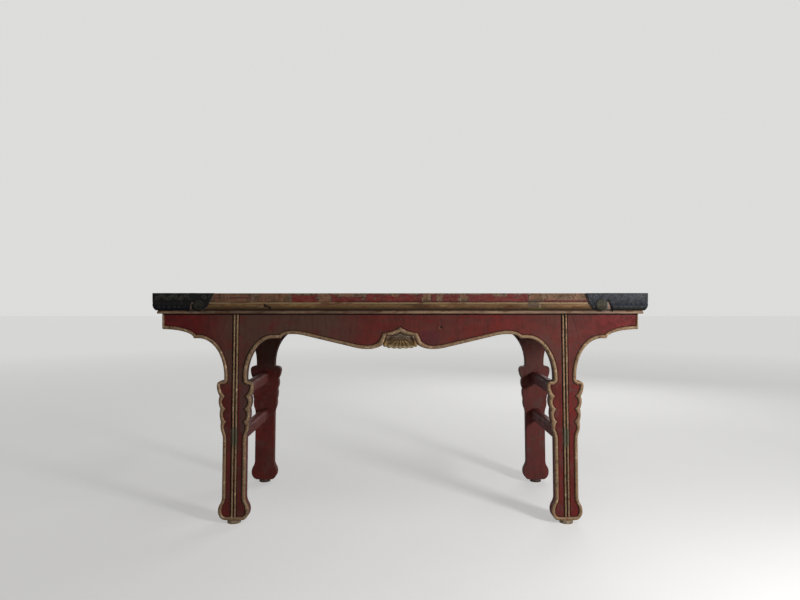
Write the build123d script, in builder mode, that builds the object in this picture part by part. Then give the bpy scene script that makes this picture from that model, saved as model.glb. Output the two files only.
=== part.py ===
"""Chinese altar table with inserted-shoulder legs, in lacquered wood.

Millimetres, +X along the table, +Y towards its back, +Z up.
The origin is on the floor, under the middle of the table.
"""

import os
from math import atan, cos, degrees, radians, sin, sqrt, tan

from build123d import *

os.makedirs("parts", exist_ok=True)

# ---------------------------------------------------------------- driving dimensions
overall_length = 1825.0
overall_depth = 640.0
overall_height = 860.0

arris = 2.5  # rounding of the top's upper edge
mount_sheet = 1.5  # thickness of the corner mounts, the outermost skin of the top

frame_thickness = 32.5
frame_width = 100.0
strip_height = 43.0  # moulded strips under the frame
strip_width = 80.0
apron_thickness = 26.0
leg_thickness = 42.0
apron_set_in = 25.5  # apron and leg faces behind the face of the top frame

apron_length = 1773.0
apron_end_height = 58.0

pad_height = 13.0
pad_radius = 25.0
pad_sides, pad_chamfer = 20, 3.0

leg_floor_x = 623.0  # leg axis at the floor
leg_top_x = 611.5  # leg axis under the top

rim_width = 13.5  # raised edge bead of aprons and legs
rim_height = 3.0
corner_bead = 8.0  # upright bead at each end of an apron

# ---------------------------------------------------------------- levels and faces
top_length = overall_length - 2 * mount_sheet
top_depth = overall_depth - 2 * mount_sheet
top_z = overall_height - mount_sheet
frame_z = top_z - frame_thickness
strip_z = frame_z - strip_height
front_y = -top_depth / 2  # face of the top frame
front_face = front_y + apron_set_in  # face of front legs and apron
leg_back = front_face + leg_thickness
lean = degrees(atan((leg_floor_x - leg_top_x) / strip_z))

# ---------------------------------------------------------------- leg outline, half widths and heights
foot_bottom = 12.5
foot_flat = 30.0
foot_half_width, foot_widest_z = 57.5, 47.0
foot_neck_z = 98.0
shaft_half_width = 43.0
shaft_top_z = 314.0
neck_half_width = 41.0
flange_top_z = 531.0
flange_half_width, flange_widest_z = 68.5, 515.0
flange_corner = 16.0
neck_hollow = 8.0  # radius between the neck and the flange's top
scallops = [  # each scallop: height of its crest, crest, height of the cusp below it, cusp
    (455.0, 60.5, 428.0, 54.0),
    (412.0, 56.0, 380.0, 51.4),
]
first_cusp_z, first_cusp = 475.0, 57.5
last_crest_z, last_crest = 362.0, 52.4
taper_z, taper_half_width = 342.0, 49.0
cusp_depth = 1.6  # the bead's inner line runs this much deeper at a cusp

# ---------------------------------------------------------------- spandrels, shared by leg and apron
arch_from_axis = 139.0  # middle of the elliptical spandrel, measured from the leg's axis
arch_z = 545.0
arch_half_width, arch_rise = 98.0, 146.0
shoulder_z = 645.0  # foot of the inserted shoulder
shoulder_tip = 27.5  # its half width under the top
shoulder_foot = 67.6

cheek = 12.0  # the leg's front cheek, let into the apron
slot = apron_thickness - cheek  # what is left of the apron behind the cheek

# ---------------------------------------------------------------- apron outline, right half
apron_half = apron_length / 2
apron_end_z = strip_z - apron_end_height
spandrel_z = arch_z + arch_rise
end_arch_width, end_arch_rise = 117.0, 34.0
crest_x, crest_width, crest_rise = 402.0, 44.0, 15.5
ogee = [(357.2, 701.2), (169.1, 656.3)]  # the straight slope between its two arcs
lobe_x, lobe_z = 120.0, 650.5
niche_foot = (66.0, 665.0)
niche_shoulder = (52.0, 702.0)
niche_mid = (26.0, 705.0)
niche_tip_z = 715.0
niche_depth = 14.0
niche_floor_z = 668.0
niche_below_z = lobe_z - 5.0  # clear of the apron's lower edge
foot_rise, shoulder_rise, mid_rise, tip_rise = 1.1, 0.7, 0.9, 1.4  # the bead's height round the niche

# ---------------------------------------------------------------- joints
groove_depth, tongue_length, tongue_thickness, tongue_up = 10.0, 9.0, 8.0, 7.0
board_thickness = 22.0
board_z = top_z - board_thickness
tongue_z = board_z + tongue_up
batten_width, batten_height, batten_foot, batten_head = 48.0, 30.0, 28.0, 36.0
batten_places = [-540.0, -180.0, 180.0, 540.0]
batten_tenon, batten_tenon_drop = (30.0, 20.0, 8.0), 1.0
batten_tenon_z = board_z - batten_tenon_drop - batten_tenon[2] / 2
corner_tenon_length, corner_tenon_width, corner_tenon_thickness = 60.0, 36.0, 11.0
corner_tenon_in, corner_tenon_up = 54.0, 9.5
leg_tenon_width, leg_tenon_thickness, leg_tenon_length = 18.0, 14.0, 59.0
leg_tenon_offset, leg_tenon_root, leg_tenon_back = 15.0, 3.0, 1.0
stretcher_width, stretcher_height, stretcher_round = 40.0, 50.0, 13.0
stretcher_tenon = (14.0, 25.0, 34.0)
stretcher_levels = {"lower": 313.0, "upper": 480.0}


def leg_axis(z):
    """X of the right leg's axis at height z."""
    return leg_floor_x - z * tan(radians(lean))


def leg_plane(y):
    """Upright plane across the right leg's axis, seen from the front, with v running up the axis."""
    return Plane(
        origin=(leg_floor_x, y, 0),
        x_dir=(cos(radians(lean)), 0, sin(radians(lean))),
        z_dir=(0, -1, 0),
    )


def front_plane(y):
    """Upright plane along the table, seen from the front."""
    return Plane.XZ.offset(-y)


def ellipse_reach(width, rise, climb):
    """Half width that an ellipse has left at a height above its middle."""
    return width * sqrt(1 - (climb / rise) ** 2)


def save(name, part):
    part.label = name
    export_step(part, f"parts/{name}.step")


def at_corner(part, left, back):
    """The front right piece, mirrored to another corner."""
    with BuildPart() as copy:
        add(part)
        if left:
            mirror(about=Plane.YZ, mode=Mode.REPLACE)
        if back:
            mirror(about=Plane.XZ, mode=Mode.REPLACE)
    return copy.part


CORNERS = {
    "front_right": (False, False),
    "front_left": (True, False),
    "back_right": (False, True),
    "back_left": (True, True),
}


# ================================================================ top frame
corner_x, corner_y = top_length / 2, front_y
mitre_right = Plane(origin=(corner_x, corner_y, 0), z_dir=(1, 1, 0))
mitre_left = Plane(origin=(-corner_x, corner_y, 0), z_dir=(-1, 1, 0))
inner_x, inner_y = corner_x - frame_width, corner_y + frame_width
corner_tenon_at = (inner_x + corner_tenon_in, corner_y + frame_width / 2, frame_z + corner_tenon_up)
corner_tenon_size = (corner_tenon_length, corner_tenon_width, corner_tenon_thickness)

# the two tenons on the head of the right leg, up through the strip into the frame
with BuildPart() as leg_tenons:
    with BuildSketch(leg_plane(leg_back - leg_tenon_back)):
        for side in (-1, 1):
            with Locations((side * leg_tenon_offset, strip_z + leg_tenon_length / 2)):
                Rectangle(leg_tenon_width, leg_tenon_length + 2 * leg_tenon_root)
    extrude(amount=leg_tenon_thickness)

with BuildPart() as leg_mortises:
    add(leg_tenons.part)
    mirror(about=Plane.YZ)

with BuildPart() as top_front_rail:
    with BuildSketch(Plane.YZ):
        with BuildLine():
            Polyline(
                (corner_y + arris, top_z),
                (inner_y, top_z),
                (inner_y, frame_z),
                (corner_y, frame_z),
                (corner_y, top_z - arris),
            )
            RadiusArc((corner_y, top_z - arris), (corner_y + arris, top_z), arris)
        make_face()
        with Locations((inner_y - groove_depth / 2, tongue_z + tongue_thickness / 2)):
            Rectangle(groove_depth, tongue_thickness, mode=Mode.SUBTRACT)
    extrude(amount=corner_x, both=True)
    split(bisect_by=mitre_right, keep=Keep.BOTTOM)
    split(bisect_by=mitre_left, keep=Keep.BOTTOM)
    for side in (-1, 1):
        with Locations((side * corner_tenon_at[0], corner_tenon_at[1], corner_tenon_at[2])):
            Box(*corner_tenon_size)
    for x in batten_places:
        with Locations((x, inner_y - batten_tenon[1] / 2, batten_tenon_z)):
            Box(*batten_tenon, mode=Mode.SUBTRACT)
    add(leg_mortises.part, mode=Mode.SUBTRACT)
save("top_front_rail", top_front_rail.part)

with BuildPart() as top_back_rail:
    add(top_front_rail.part)
    mirror(about=Plane.XZ, mode=Mode.REPLACE)
save("top_back_rail", top_back_rail.part)

with BuildPart() as top_right_end:
    with BuildSketch(Plane.XZ):
        with BuildLine():
            Polyline(
                (corner_x - arris, top_z),
                (inner_x, top_z),
                (inner_x, frame_z),
                (corner_x, frame_z),
                (corner_x, top_z - arris),
            )
            RadiusArc((corner_x, top_z - arris), (corner_x - arris, top_z), -arris)
        make_face()
        with Locations((inner_x + groove_depth / 2, tongue_z + tongue_thickness / 2)):
            Rectangle(groove_depth, tongue_thickness, mode=Mode.SUBTRACT)
    extrude(amount=-corner_y, both=True)
    split(bisect_by=mitre_right, keep=Keep.TOP)
    split(bisect_by=Plane(origin=(corner_x, -corner_y, 0), z_dir=(1, -1, 0)), keep=Keep.TOP)
    for side in (-1, 1):
        with Locations((corner_tenon_at[0], side * corner_tenon_at[1], corner_tenon_at[2])):
            Box(*corner_tenon_size, mode=Mode.SUBTRACT)
save("top_right_end", top_right_end.part)

with BuildPart() as top_left_end:
    add(top_right_end.part)
    mirror(about=Plane.YZ, mode=Mode.REPLACE)
save("top_left_end", top_left_end.part)

# ================================================================ panel boards and battens
board_width = -2 * inner_y / 3
board_tongue, board_tongue_thickness = 5.0, 6.0


def dovetail(x):
    """The batten's dovetail, wider above, right across the panel."""
    with BuildPart() as rib:
        with BuildSketch(Plane.XZ):
            with BuildLine():
                Polyline(
                    (x - batten_foot / 2, board_z),
                    (x + batten_foot / 2, board_z),
                    (x + batten_head / 2, tongue_z),
                    (x - batten_head / 2, tongue_z),
                    close=True,
                )
            make_face()
        extrude(amount=-inner_y, both=True)
    return rib.part


for index, name in enumerate(["front", "middle", "back"]):
    y_low = inner_y + index * board_width
    y_mid = y_low + board_width / 2
    with BuildPart() as top_board:
        with Locations((0, y_mid, board_z + board_thickness / 2)):
            Box(2 * inner_x, board_width, board_thickness)
        tongue_mid_z = tongue_z + tongue_thickness / 2
        outer_low = y_low - (tongue_length if index == 0 else 0)
        outer_high = y_low + board_width + (tongue_length if index == 2 else 0)
        with Locations((0, (outer_low + outer_high) / 2, tongue_mid_z)):
            Box(2 * (inner_x + tongue_length), outer_high - outer_low, tongue_thickness)
        if index < 2:
            with Locations((0, y_low + board_width + board_tongue / 2, tongue_mid_z)):
                Box(2 * inner_x, board_tongue, board_tongue_thickness)
        if index > 0:
            with Locations((0, y_low + board_tongue / 2, tongue_mid_z)):
                Box(2 * (inner_x + tongue_length), board_tongue, board_tongue_thickness,
                    mode=Mode.SUBTRACT)
        for x in batten_places:
            add(dovetail(x), mode=Mode.SUBTRACT)
    save(f"top_board_{name}", top_board.part)

for index, x in enumerate(batten_places):
    with BuildPart() as batten:
        with Locations((x, 0, board_z - batten_height / 2)):
            Box(batten_width, -2 * inner_y, batten_height)
        add(dovetail(x))
        with Locations((x, 0, batten_tenon_z)):
            Box(batten_tenon[0], 2 * (batten_tenon[1] - inner_y), batten_tenon[2])
    save(f"batten_{index + 1}", batten.part)

# ================================================================ moulded strips under the frame
# the moulding, as distance behind the frame's face and height
groove_in = 3.0
groove_foot_z = frame_z - 2.0
ovolo_top, ovolo_mid, ovolo_foot = (0.8, frame_z - 3.5), (1.6, frame_z - 18.0), (9.0, frame_z - 30.0)
fillet_in, fillet_z, fillet_bulge = 13.5, frame_z - 32.5, 1.6
quirk_z = fillet_z + 1.0  # the small quirk between the ovolo and the fillet


def moulding_line(place):
    """The strip's section, where place turns (distance in, height) into a point of the sketch."""
    Polyline(
        place(fillet_in, strip_z),
        place(strip_width, strip_z),
        place(strip_width, frame_z),
        place(groove_in, frame_z),
        place(groove_in, groove_foot_z),
        place(*ovolo_top),
    )
    ThreePointArc(place(*ovolo_top), place(*ovolo_mid), place(*ovolo_foot))
    Polyline(place(*ovolo_foot), place(fillet_in, quirk_z), place(fillet_in, fillet_z))
    ThreePointArc(
        place(fillet_in, fillet_z),
        place(fillet_in - fillet_bulge, (fillet_z + strip_z) / 2),
        place(fillet_in, strip_z),
    )


with BuildPart() as moulding_front:
    with BuildSketch(Plane.YZ):
        with BuildLine():
            moulding_line(lambda inward, z: (corner_y + inward, z))
        make_face()
    extrude(amount=corner_x, both=True)
    split(bisect_by=mitre_right, keep=Keep.BOTTOM)
    split(bisect_by=mitre_left, keep=Keep.BOTTOM)
    add(leg_mortises.part, mode=Mode.SUBTRACT)
save("moulding_front", moulding_front.part)

with BuildPart() as moulding_back:
    add(moulding_front.part)
    mirror(about=Plane.XZ, mode=Mode.REPLACE)
save("moulding_back", moulding_back.part)

with BuildPart() as moulding_right:
    with BuildSketch(Plane.XZ):
        with BuildLine():
            moulding_line(lambda inward, z: (corner_x - inward, z))
        make_face()
    extrude(amount=-corner_y, both=True)
    split(bisect_by=mitre_right, keep=Keep.TOP)
    split(bisect_by=Plane(origin=(corner_x, -corner_y, 0), z_dir=(1, -1, 0)), keep=Keep.TOP)
save("moulding_right", moulding_right.part)

with BuildPart() as moulding_left:
    add(moulding_right.part)
    mirror(about=Plane.YZ, mode=Mode.REPLACE)
save("moulding_left", moulding_left.part)


# ================================================================ long aprons
def niche_line(inset):
    """Right side of the niche and of the bead round it, from its foot up to the middle of its arch."""
    foot = (niche_foot[0] + inset, niche_foot[1] + foot_rise * inset)
    shoulder = (niche_shoulder[0] + inset, niche_shoulder[1] + shoulder_rise * inset)
    mid = (niche_mid[0] + inset / 2, niche_mid[1] + mid_rise * inset)
    Line(foot, shoulder)
    ThreePointArc(shoulder, mid, (0, niche_tip_z + tip_rise * inset))


def apron_edge(inset, with_legs):
    """Lower edge of the apron's right half, from its end to the foot of the niche.

    An inset moves it into the apron, which gives the bead's inner line. Across the leg the edge
    dips behind the shoulder, or runs straight on at the spandrels' height."""
    arch = (arch_half_width + inset, arch_rise + inset)
    flat_z = spandrel_z + inset
    outer_mid = leg_axis(shoulder_z) + arch_from_axis
    inner_mid = leg_axis(shoulder_z) - arch_from_axis
    end_mid_z = apron_end_z - end_arch_rise
    end_size = (end_arch_width + inset, end_arch_rise + inset)
    end_cusp = apron_half - ellipse_reach(*end_size, flat_z - end_mid_z)
    angle_end = degrees(atan(
        (flat_z - end_mid_z) / end_size[1] / ((apron_half - end_cusp) / end_size[0])))
    EllipticalCenterArc((apron_half, end_mid_z), *end_size, 90, arc_size=90 - angle_end)
    Line((end_cusp, flat_z), (outer_mid, flat_z))
    if with_legs:
        climb = shoulder_z - arch_z
        reach = ellipse_reach(*arch, climb)
        angle = degrees(atan(climb / arch[1] / (reach / arch[0])))
        EllipticalCenterArc((outer_mid, arch_z), *arch, 90, arc_size=90 - angle)
        Line((outer_mid - reach, shoulder_z), (inner_mid + reach, shoulder_z))
        EllipticalCenterArc((inner_mid, arch_z), *arch, angle, arc_size=90 - angle)
    else:
        Line((outer_mid, flat_z), (inner_mid, flat_z))
    crest = (crest_width + inset, crest_rise + inset)
    crest_cusp = crest_x + ellipse_reach(*crest, inset)
    crest_angle = degrees(atan(inset / crest[1] / ((crest_cusp - crest_x) / crest[0])))
    Line((inner_mid, flat_z), (crest_cusp, flat_z))
    EllipticalCenterArc((crest_x, spandrel_z), *crest, crest_angle, arc_size=90 - crest_angle)
    slope = [(x, z + inset) for x, z in ogee]
    lobe = (lobe_x, lobe_z + inset)
    TangentArc((crest_x, spandrel_z + crest[1]), slope[0], tangent=(-1, 0))
    Line(*slope)
    TangentArc(lobe, slope[1], tangent=(1, 0))
    TangentArc(lobe, (niche_foot[0] + inset, niche_foot[1] + foot_rise * inset), tangent=(-1, 0))


# where the front cheeks of the legs lie in the apron
shoulder_slope = (shoulder_foot - shoulder_tip) / (strip_z - shoulder_z)
over = 20.0
with BuildPart() as housings:
    with BuildSketch(leg_plane(front_face + cheek)):
        with BuildLine():
            Polyline(
                (0, strip_z + over),
                (shoulder_tip - over * shoulder_slope, strip_z + over),
                (shoulder_foot, shoulder_z),
                (shoulder_foot, shoulder_z - over),
                (0, shoulder_z - over),
            )
            mirror(about=Plane.YZ)
        make_face()
    extrude(amount=cheek + 1)
    mirror(about=Plane.YZ)

apron_mitre = Plane(origin=(apron_half, front_face, 0), z_dir=(1, 1, 0))
apron_mitre_left = Plane(origin=(-apron_half, front_face, 0), z_dir=(-1, 1, 0))

with BuildPart() as apron_front:
    with BuildSketch(front_plane(front_face)):
        with BuildLine():
            Line((0, strip_z), (apron_half, strip_z))
            Line((apron_half, strip_z), (apron_half, apron_end_z))
            apron_edge(0, True)
            Polyline(niche_foot, (niche_foot[0], niche_floor_z), (0, niche_floor_z))
            mirror(about=Plane.YZ)
        make_face()
    extrude(amount=-apron_thickness)
    # the field between the beads, sunk below them
    with BuildSketch(front_plane(front_face)):
        with BuildLine():
            edge_z = apron_end_z + rim_width
            Line((0, strip_z + over), (apron_half, strip_z + over))
            Line((apron_half, strip_z + over), (apron_half, edge_z))
            apron_edge(rim_width, False)
            niche_line(rim_width)
            mirror(about=Plane.YZ)
        make_face()
        for end in (-1, 1):
            with Locations((end * apron_half, strip_z)):
                Rectangle(2 * corner_bead, 4 * apron_end_height, mode=Mode.SUBTRACT)
    extrude(amount=-rim_height, mode=Mode.SUBTRACT)
    # the niche for the carved leaf
    with BuildSketch(front_plane(front_face)):
        with BuildLine():
            niche_line(0)
            Polyline(niche_foot, (niche_foot[0], niche_below_z), (0, niche_below_z))
            mirror(about=Plane.YZ)
        make_face()
    extrude(amount=-niche_depth, mode=Mode.SUBTRACT)
    add(housings.part, mode=Mode.SUBTRACT)
    split(bisect_by=apron_mitre, keep=Keep.BOTTOM)
    split(bisect_by=apron_mitre_left, keep=Keep.BOTTOM)
save("apron_front", apron_front.part)

with BuildPart() as apron_back:
    add(apron_front.part)
    mirror(about=Plane.XZ, mode=Mode.REPLACE)
save("apron_back", apron_back.part)

# ================================================================ end aprons
with BuildPart() as apron_right:
    side_plane = Plane.YZ.offset(apron_half)
    side_mid_z = (strip_z + apron_end_z) / 2
    with BuildSketch(side_plane):
        with Locations((0, side_mid_z)):
            Rectangle(-2 * front_face, apron_end_height)
    extrude(amount=-apron_thickness)
    with BuildSketch(side_plane):
        with Locations((0, side_mid_z + rim_width)):
            Rectangle(-2 * (front_face + corner_bead), apron_end_height)
    extrude(amount=-rim_height, mode=Mode.SUBTRACT)
    split(bisect_by=apron_mitre, keep=Keep.TOP)
    split(bisect_by=Plane(origin=(apron_half, -front_face, 0), z_dir=(1, -1, 0)), keep=Keep.TOP)
save("apron_right", apron_right.part)

with BuildPart() as apron_left:
    add(apron_right.part)
    mirror(about=Plane.YZ, mode=Mode.REPLACE)
save("apron_left", apron_left.part)

# ================================================================ carved leaf in the niche
leaf_gap = 0.4
leaf_back = front_face + niche_depth
leaf_plate = 9.0
leaf_relief = 2.5
leaf_rim = 5.0
leaf_scallops = [(63.6, 666.0), (45.0, 661.5), (23.0, 657.0)]
scallop_drop = 3.0


def leaf_outline():
    """Right half of the leaf: the niche's line with a little air, and scallops below."""
    shoulder = (niche_shoulder[0] - leaf_gap, niche_shoulder[1] - leaf_gap)
    ThreePointArc((0, niche_tip_z - leaf_gap), (niche_mid[0], niche_mid[1] - leaf_gap), shoulder)
    Line(shoulder, leaf_scallops[0])
    points = [leaf_scallops[0]]
    for start, stop in zip(leaf_scallops, leaf_scallops[1:]):
        low_z = (start[1] + stop[1]) / 2 - scallop_drop
        points += [((start[0] + stop[0]) / 2, low_z), stop]
    middle_x, middle_z = leaf_scallops[-1]
    low_z = middle_z - scallop_drop
    Polyline(*points, (middle_x / 2, low_z), (0, low_z))


with BuildPart() as apron_leaf_front:
    with BuildSketch(front_plane(leaf_back)):
        with BuildLine():
            leaf_outline()
            mirror(about=Plane.YZ)
        make_face()
    extrude(amount=leaf_plate)
    # the raised middle of the carving, a lozenge with cut corners
    with BuildSketch(front_plane(leaf_back - leaf_plate)):
        with BuildLine():
            low = leaf_scallops[-1][1] + leaf_rim
            high = niche_mid[1] - leaf_rim
            Polyline((0, niche_tip_z - 2 * leaf_rim), (niche_mid[0], high),
                     (niche_shoulder[0] - 2 * leaf_rim, high - leaf_rim),
                     (niche_foot[0] - 3 * leaf_rim, low + leaf_rim), (0, low))
            mirror(about=Plane.YZ)
        make_face()
    extrude(amount=leaf_relief)
save("apron_leaf_front", apron_leaf_front.part)

with BuildPart() as apron_leaf_back:
    add(apron_leaf_front.part)
    mirror(about=Plane.XZ, mode=Mode.REPLACE)
save("apron_leaf_back", apron_leaf_back.part)


# ================================================================ legs
def leg_lower_edge(inset):
    """Right edge of the leg from the neck down to the middle of the foot, moved in by an inset."""
    deep = cusp_depth * inset
    neck = neck_half_width - inset
    hollow = neck_hollow + inset
    hollow_x = neck_half_width + neck_hollow
    hollow_z = flange_top_z + neck_hollow
    corner = flange_corner - inset
    corner_mid = flange_half_width - flange_corner
    Line((neck, arch_z), (neck, hollow_z))
    CenterArc((hollow_x, hollow_z), hollow, 180, 90)
    Line((hollow_x, hollow_z - hollow), (corner_mid, hollow_z - hollow))
    CenterArc((corner_mid, flange_widest_z), corner, 90, -90)
    cusp = (first_cusp - deep, first_cusp_z)
    TangentArc((flange_half_width - inset, flange_widest_z), cusp, tangent=(0, -1))
    for crest_z, crest, cusp_z, next_cusp in scallops:
        following = (next_cusp - deep, cusp_z)
        ThreePointArc(cusp, (crest - inset, crest_z), following)
        cusp = following
    ThreePointArc(cusp, (last_crest - inset, last_crest_z), (taper_half_width - inset, taper_z))
    shaft = shaft_half_width - inset
    TangentArc((shaft, shaft_top_z), (taper_half_width - inset, taper_z), tangent=(0, 1))
    Line((shaft, shaft_top_z), (shaft, foot_neck_z))
    widest = foot_half_width - inset
    swell_mid = ((shaft + widest) / 2, (foot_neck_z + foot_widest_z) / 2)
    TangentArc((shaft, foot_neck_z), swell_mid, tangent=(0, -1))
    TangentArc((widest, foot_widest_z), swell_mid, tangent=(0, 1))
    EllipticalCenterArc((foot_flat, foot_widest_z), widest - foot_flat,
                        foot_widest_z - foot_bottom - inset, 0, arc_size=-90)
    Line((foot_flat, foot_bottom + inset), (0, foot_bottom + inset))


bead_radius, bead_offset, bead_sides = 3.5, 5.7, 8
bead_foot = foot_bottom + 6.0
spare = 3.0  # wood above the leg's head, cut off level
head = strip_z + spare

with BuildPart() as leg:
    with BuildSketch(leg_plane(front_face)):
        with BuildLine():
            climb = shoulder_z - arch_z
            reach = ellipse_reach(arch_half_width, arch_rise, climb)
            mid_reach = ellipse_reach(arch_half_width, arch_rise, climb / 2)
            Polyline((0, head), (shoulder_tip - spare * shoulder_slope, head),
                     (arch_from_axis - reach, shoulder_z))
            ThreePointArc((arch_from_axis - reach, shoulder_z),
                          (arch_from_axis - mid_reach, arch_z + climb / 2),
                          (neck_half_width, arch_z))
            leg_lower_edge(0)
            mirror(about=Plane.YZ)
        make_face()
    extrude(amount=-leg_thickness)
    # the field between the beads, sunk below them
    with BuildSketch(leg_plane(front_face)):
        with BuildLine():
            Polyline((0, head + spare), (arch_from_axis, head + spare),
                     (arch_from_axis, spandrel_z + rim_width))
            EllipticalCenterArc((arch_from_axis, arch_z), arch_half_width + rim_width,
                                arch_rise + rim_width, 90, arc_size=90)
            leg_lower_edge(rim_width)
            mirror(about=Plane.YZ)
        make_face()
    extrude(amount=-rim_height, mode=Mode.SUBTRACT)
    # the twin bead down the middle
    bead_start = Plane(
        origin=leg_plane(front_face + bead_radius).from_local_coords((0, bead_foot, 0)),
        x_dir=(1, 0, 0),
        z_dir=(-sin(radians(lean)), 0, cos(radians(lean))),
    )
    with BuildSketch(bead_start):
        with Locations((-bead_offset, 0), (bead_offset, 0)):
            RegularPolygon(bead_radius, bead_sides)
    extrude(amount=head - bead_foot)
    # the slot that takes the apron, and level cuts at head and foot
    with Locations((leg_axis(shoulder_z), front_face + cheek + slot / 2, shoulder_z + arch_rise)):
        Box(4 * shoulder_foot, slot, 2 * arch_rise, mode=Mode.SUBTRACT)
    split(bisect_by=Plane.XY.offset(strip_z), keep=Keep.BOTTOM)
    split(bisect_by=Plane.XY.offset(pad_height), keep=Keep.TOP)
    add(leg_tenons.part)
    for z in stretcher_levels.values():
        with Locations((leg_axis(z), leg_back - stretcher_tenon[1] / 2, z)):
            Box(*stretcher_tenon, mode=Mode.SUBTRACT)

for corner_name, (left, back) in CORNERS.items():
    save(f"leg_{corner_name}", at_corner(leg.part, left, back))

# ================================================================ side stretchers
for level, z in stretcher_levels.items():
    with BuildPart() as stretcher:
        with BuildSketch(Plane.XZ):
            with Locations((leg_axis(z), z)):
                RectangleRounded(stretcher_width, stretcher_height, stretcher_round)
        extrude(amount=-leg_back, both=True)
        with Locations((leg_axis(z), 0, z)):
            Box(stretcher_tenon[0], 2 * (stretcher_tenon[1] - leg_back), stretcher_tenon[2])
    save(f"stretcher_right_{level}", stretcher.part)
    save(f"stretcher_left_{level}", at_corner(stretcher.part, True, False))

# ================================================================ pads under the feet
with BuildPart() as pad:
    with BuildSketch(Plane.XY):
        with Locations((leg_axis(pad_height / 2), front_face + leg_thickness / 2)):
            RegularPolygon(pad_radius, pad_sides)
    extrude(amount=pad_height)
    chamfer(pad.faces().sort_by(Axis.Z)[0].edges(), pad_chamfer)

for corner_name, (left, back) in CORNERS.items():
    save(f"pad_{corner_name}", at_corner(pad.part, left, back))

# ================================================================ corner mounts
mount_reach = 228.0
wrap_top, wrap_mid, wrap_foot = (-0.9, frame_z - 3.5), (0.1, frame_z - 18.4), (7.9, frame_z - 31.2)
curl_x, curl_z, curl_radius, curl_sides = 742.0, frame_z - 12.5, 22.0, 8
slope_foot = (704.0, frame_z - 8.0)
notch_x, notch_top = 763.0, frame_z + 6.0
plain_x, plain_z = 781.0, frame_z - 40.0
trim = 20.0  # how far the cut reaches to either side of the face
leaf_cusp, leaf_middle = (160.0, 50.0), 116.0  # on top, measured in from the corner

with BuildPart() as corner_mount:
    # the leaf on the face follows band and ovolo
    with BuildSketch(Plane.YZ.offset(corner_x + mount_sheet)):
        with BuildLine():
            Polyline(
                (corner_y, top_z),
                (corner_y, frame_z),
                (corner_y + ovolo_top[0], ovolo_top[1]),
            )
            ThreePointArc(
                (corner_y + ovolo_top[0], ovolo_top[1]),
                (corner_y + ovolo_mid[0], ovolo_mid[1]),
                (corner_y + ovolo_foot[0], ovolo_foot[1]),
            )
            Line((corner_y + ovolo_foot[0], ovolo_foot[1]),
                 (corner_y + wrap_foot[0], wrap_foot[1]))
            ThreePointArc(
                (corner_y + wrap_foot[0], wrap_foot[1]),
                (corner_y + wrap_mid[0], wrap_mid[1]),
                (corner_y + wrap_top[0], wrap_top[1]),
            )
            Polyline(
                (corner_y + wrap_top[0], wrap_top[1]),
                (corner_y - mount_sheet, frame_z),
                (corner_y - mount_sheet, overall_height),
                (corner_y, overall_height),
                (corner_y, top_z),
            )
        make_face()
    extrude(amount=-(mount_reach + 2 * mount_sheet))
    # its inner end: a slope, a round curl and a notch
    with BuildSketch(front_plane(corner_y)):
        with BuildLine():
            Polyline(
                (corner_x - mount_reach, overall_height + mount_sheet),
                (corner_x + 2 * mount_sheet, overall_height + mount_sheet),
                (corner_x + 2 * mount_sheet, plain_z),
                (plain_x, plain_z),
                (notch_x, notch_top),
                (curl_x, curl_z),
                slope_foot,
                (corner_x - mount_reach, top_z),
                close=True,
            )
        make_face()
        with Locations((curl_x, curl_z)):
            RegularPolygon(curl_radius, curl_sides)
    extrude(amount=trim, both=True, mode=Mode.INTERSECT)
    split(bisect_by=mitre_right, keep=Keep.BOTTOM)
    mirror(about=mitre_right)
    # the leaf on top
    with BuildSketch(Plane.XY.offset(top_z)):
        with BuildLine():
            far = corner_x - mount_reach
            deep = corner_y + mount_reach
            near_cusp = (corner_x - leaf_cusp[0], corner_y + leaf_cusp[1])
            far_cusp = (corner_x - leaf_cusp[1], corner_y + leaf_cusp[0])
            middle = (corner_x - leaf_middle, corner_y + leaf_middle)
            Polyline(near_cusp, (far, corner_y), (corner_x, corner_y), (corner_x, deep), far_cusp)
            ThreePointArc(far_cusp, middle, near_cusp)
        make_face()
    extrude(amount=mount_sheet)

for corner_name, (left, back) in CORNERS.items():
    save(f"corner_mount_{corner_name}", at_corner(corner_mount.part, left, back))
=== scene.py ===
# %% [markdown]
# # A lacquered altar table, dressed
# This lesson takes the plain solids of a Chinese altar table and gives each piece its finished shape and its
# finish: red lacquer worn to its ground, gilded beads, blackened iron corners. The solids come in first and
# stay where they are; those that a dressed piece replaces are hidden.

# %% Load the solids
from math import atan, atan2, cos, hypot, pi, radians, sin, sqrt, tan

import bmesh
import bpy
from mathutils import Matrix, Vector, noise


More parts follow.
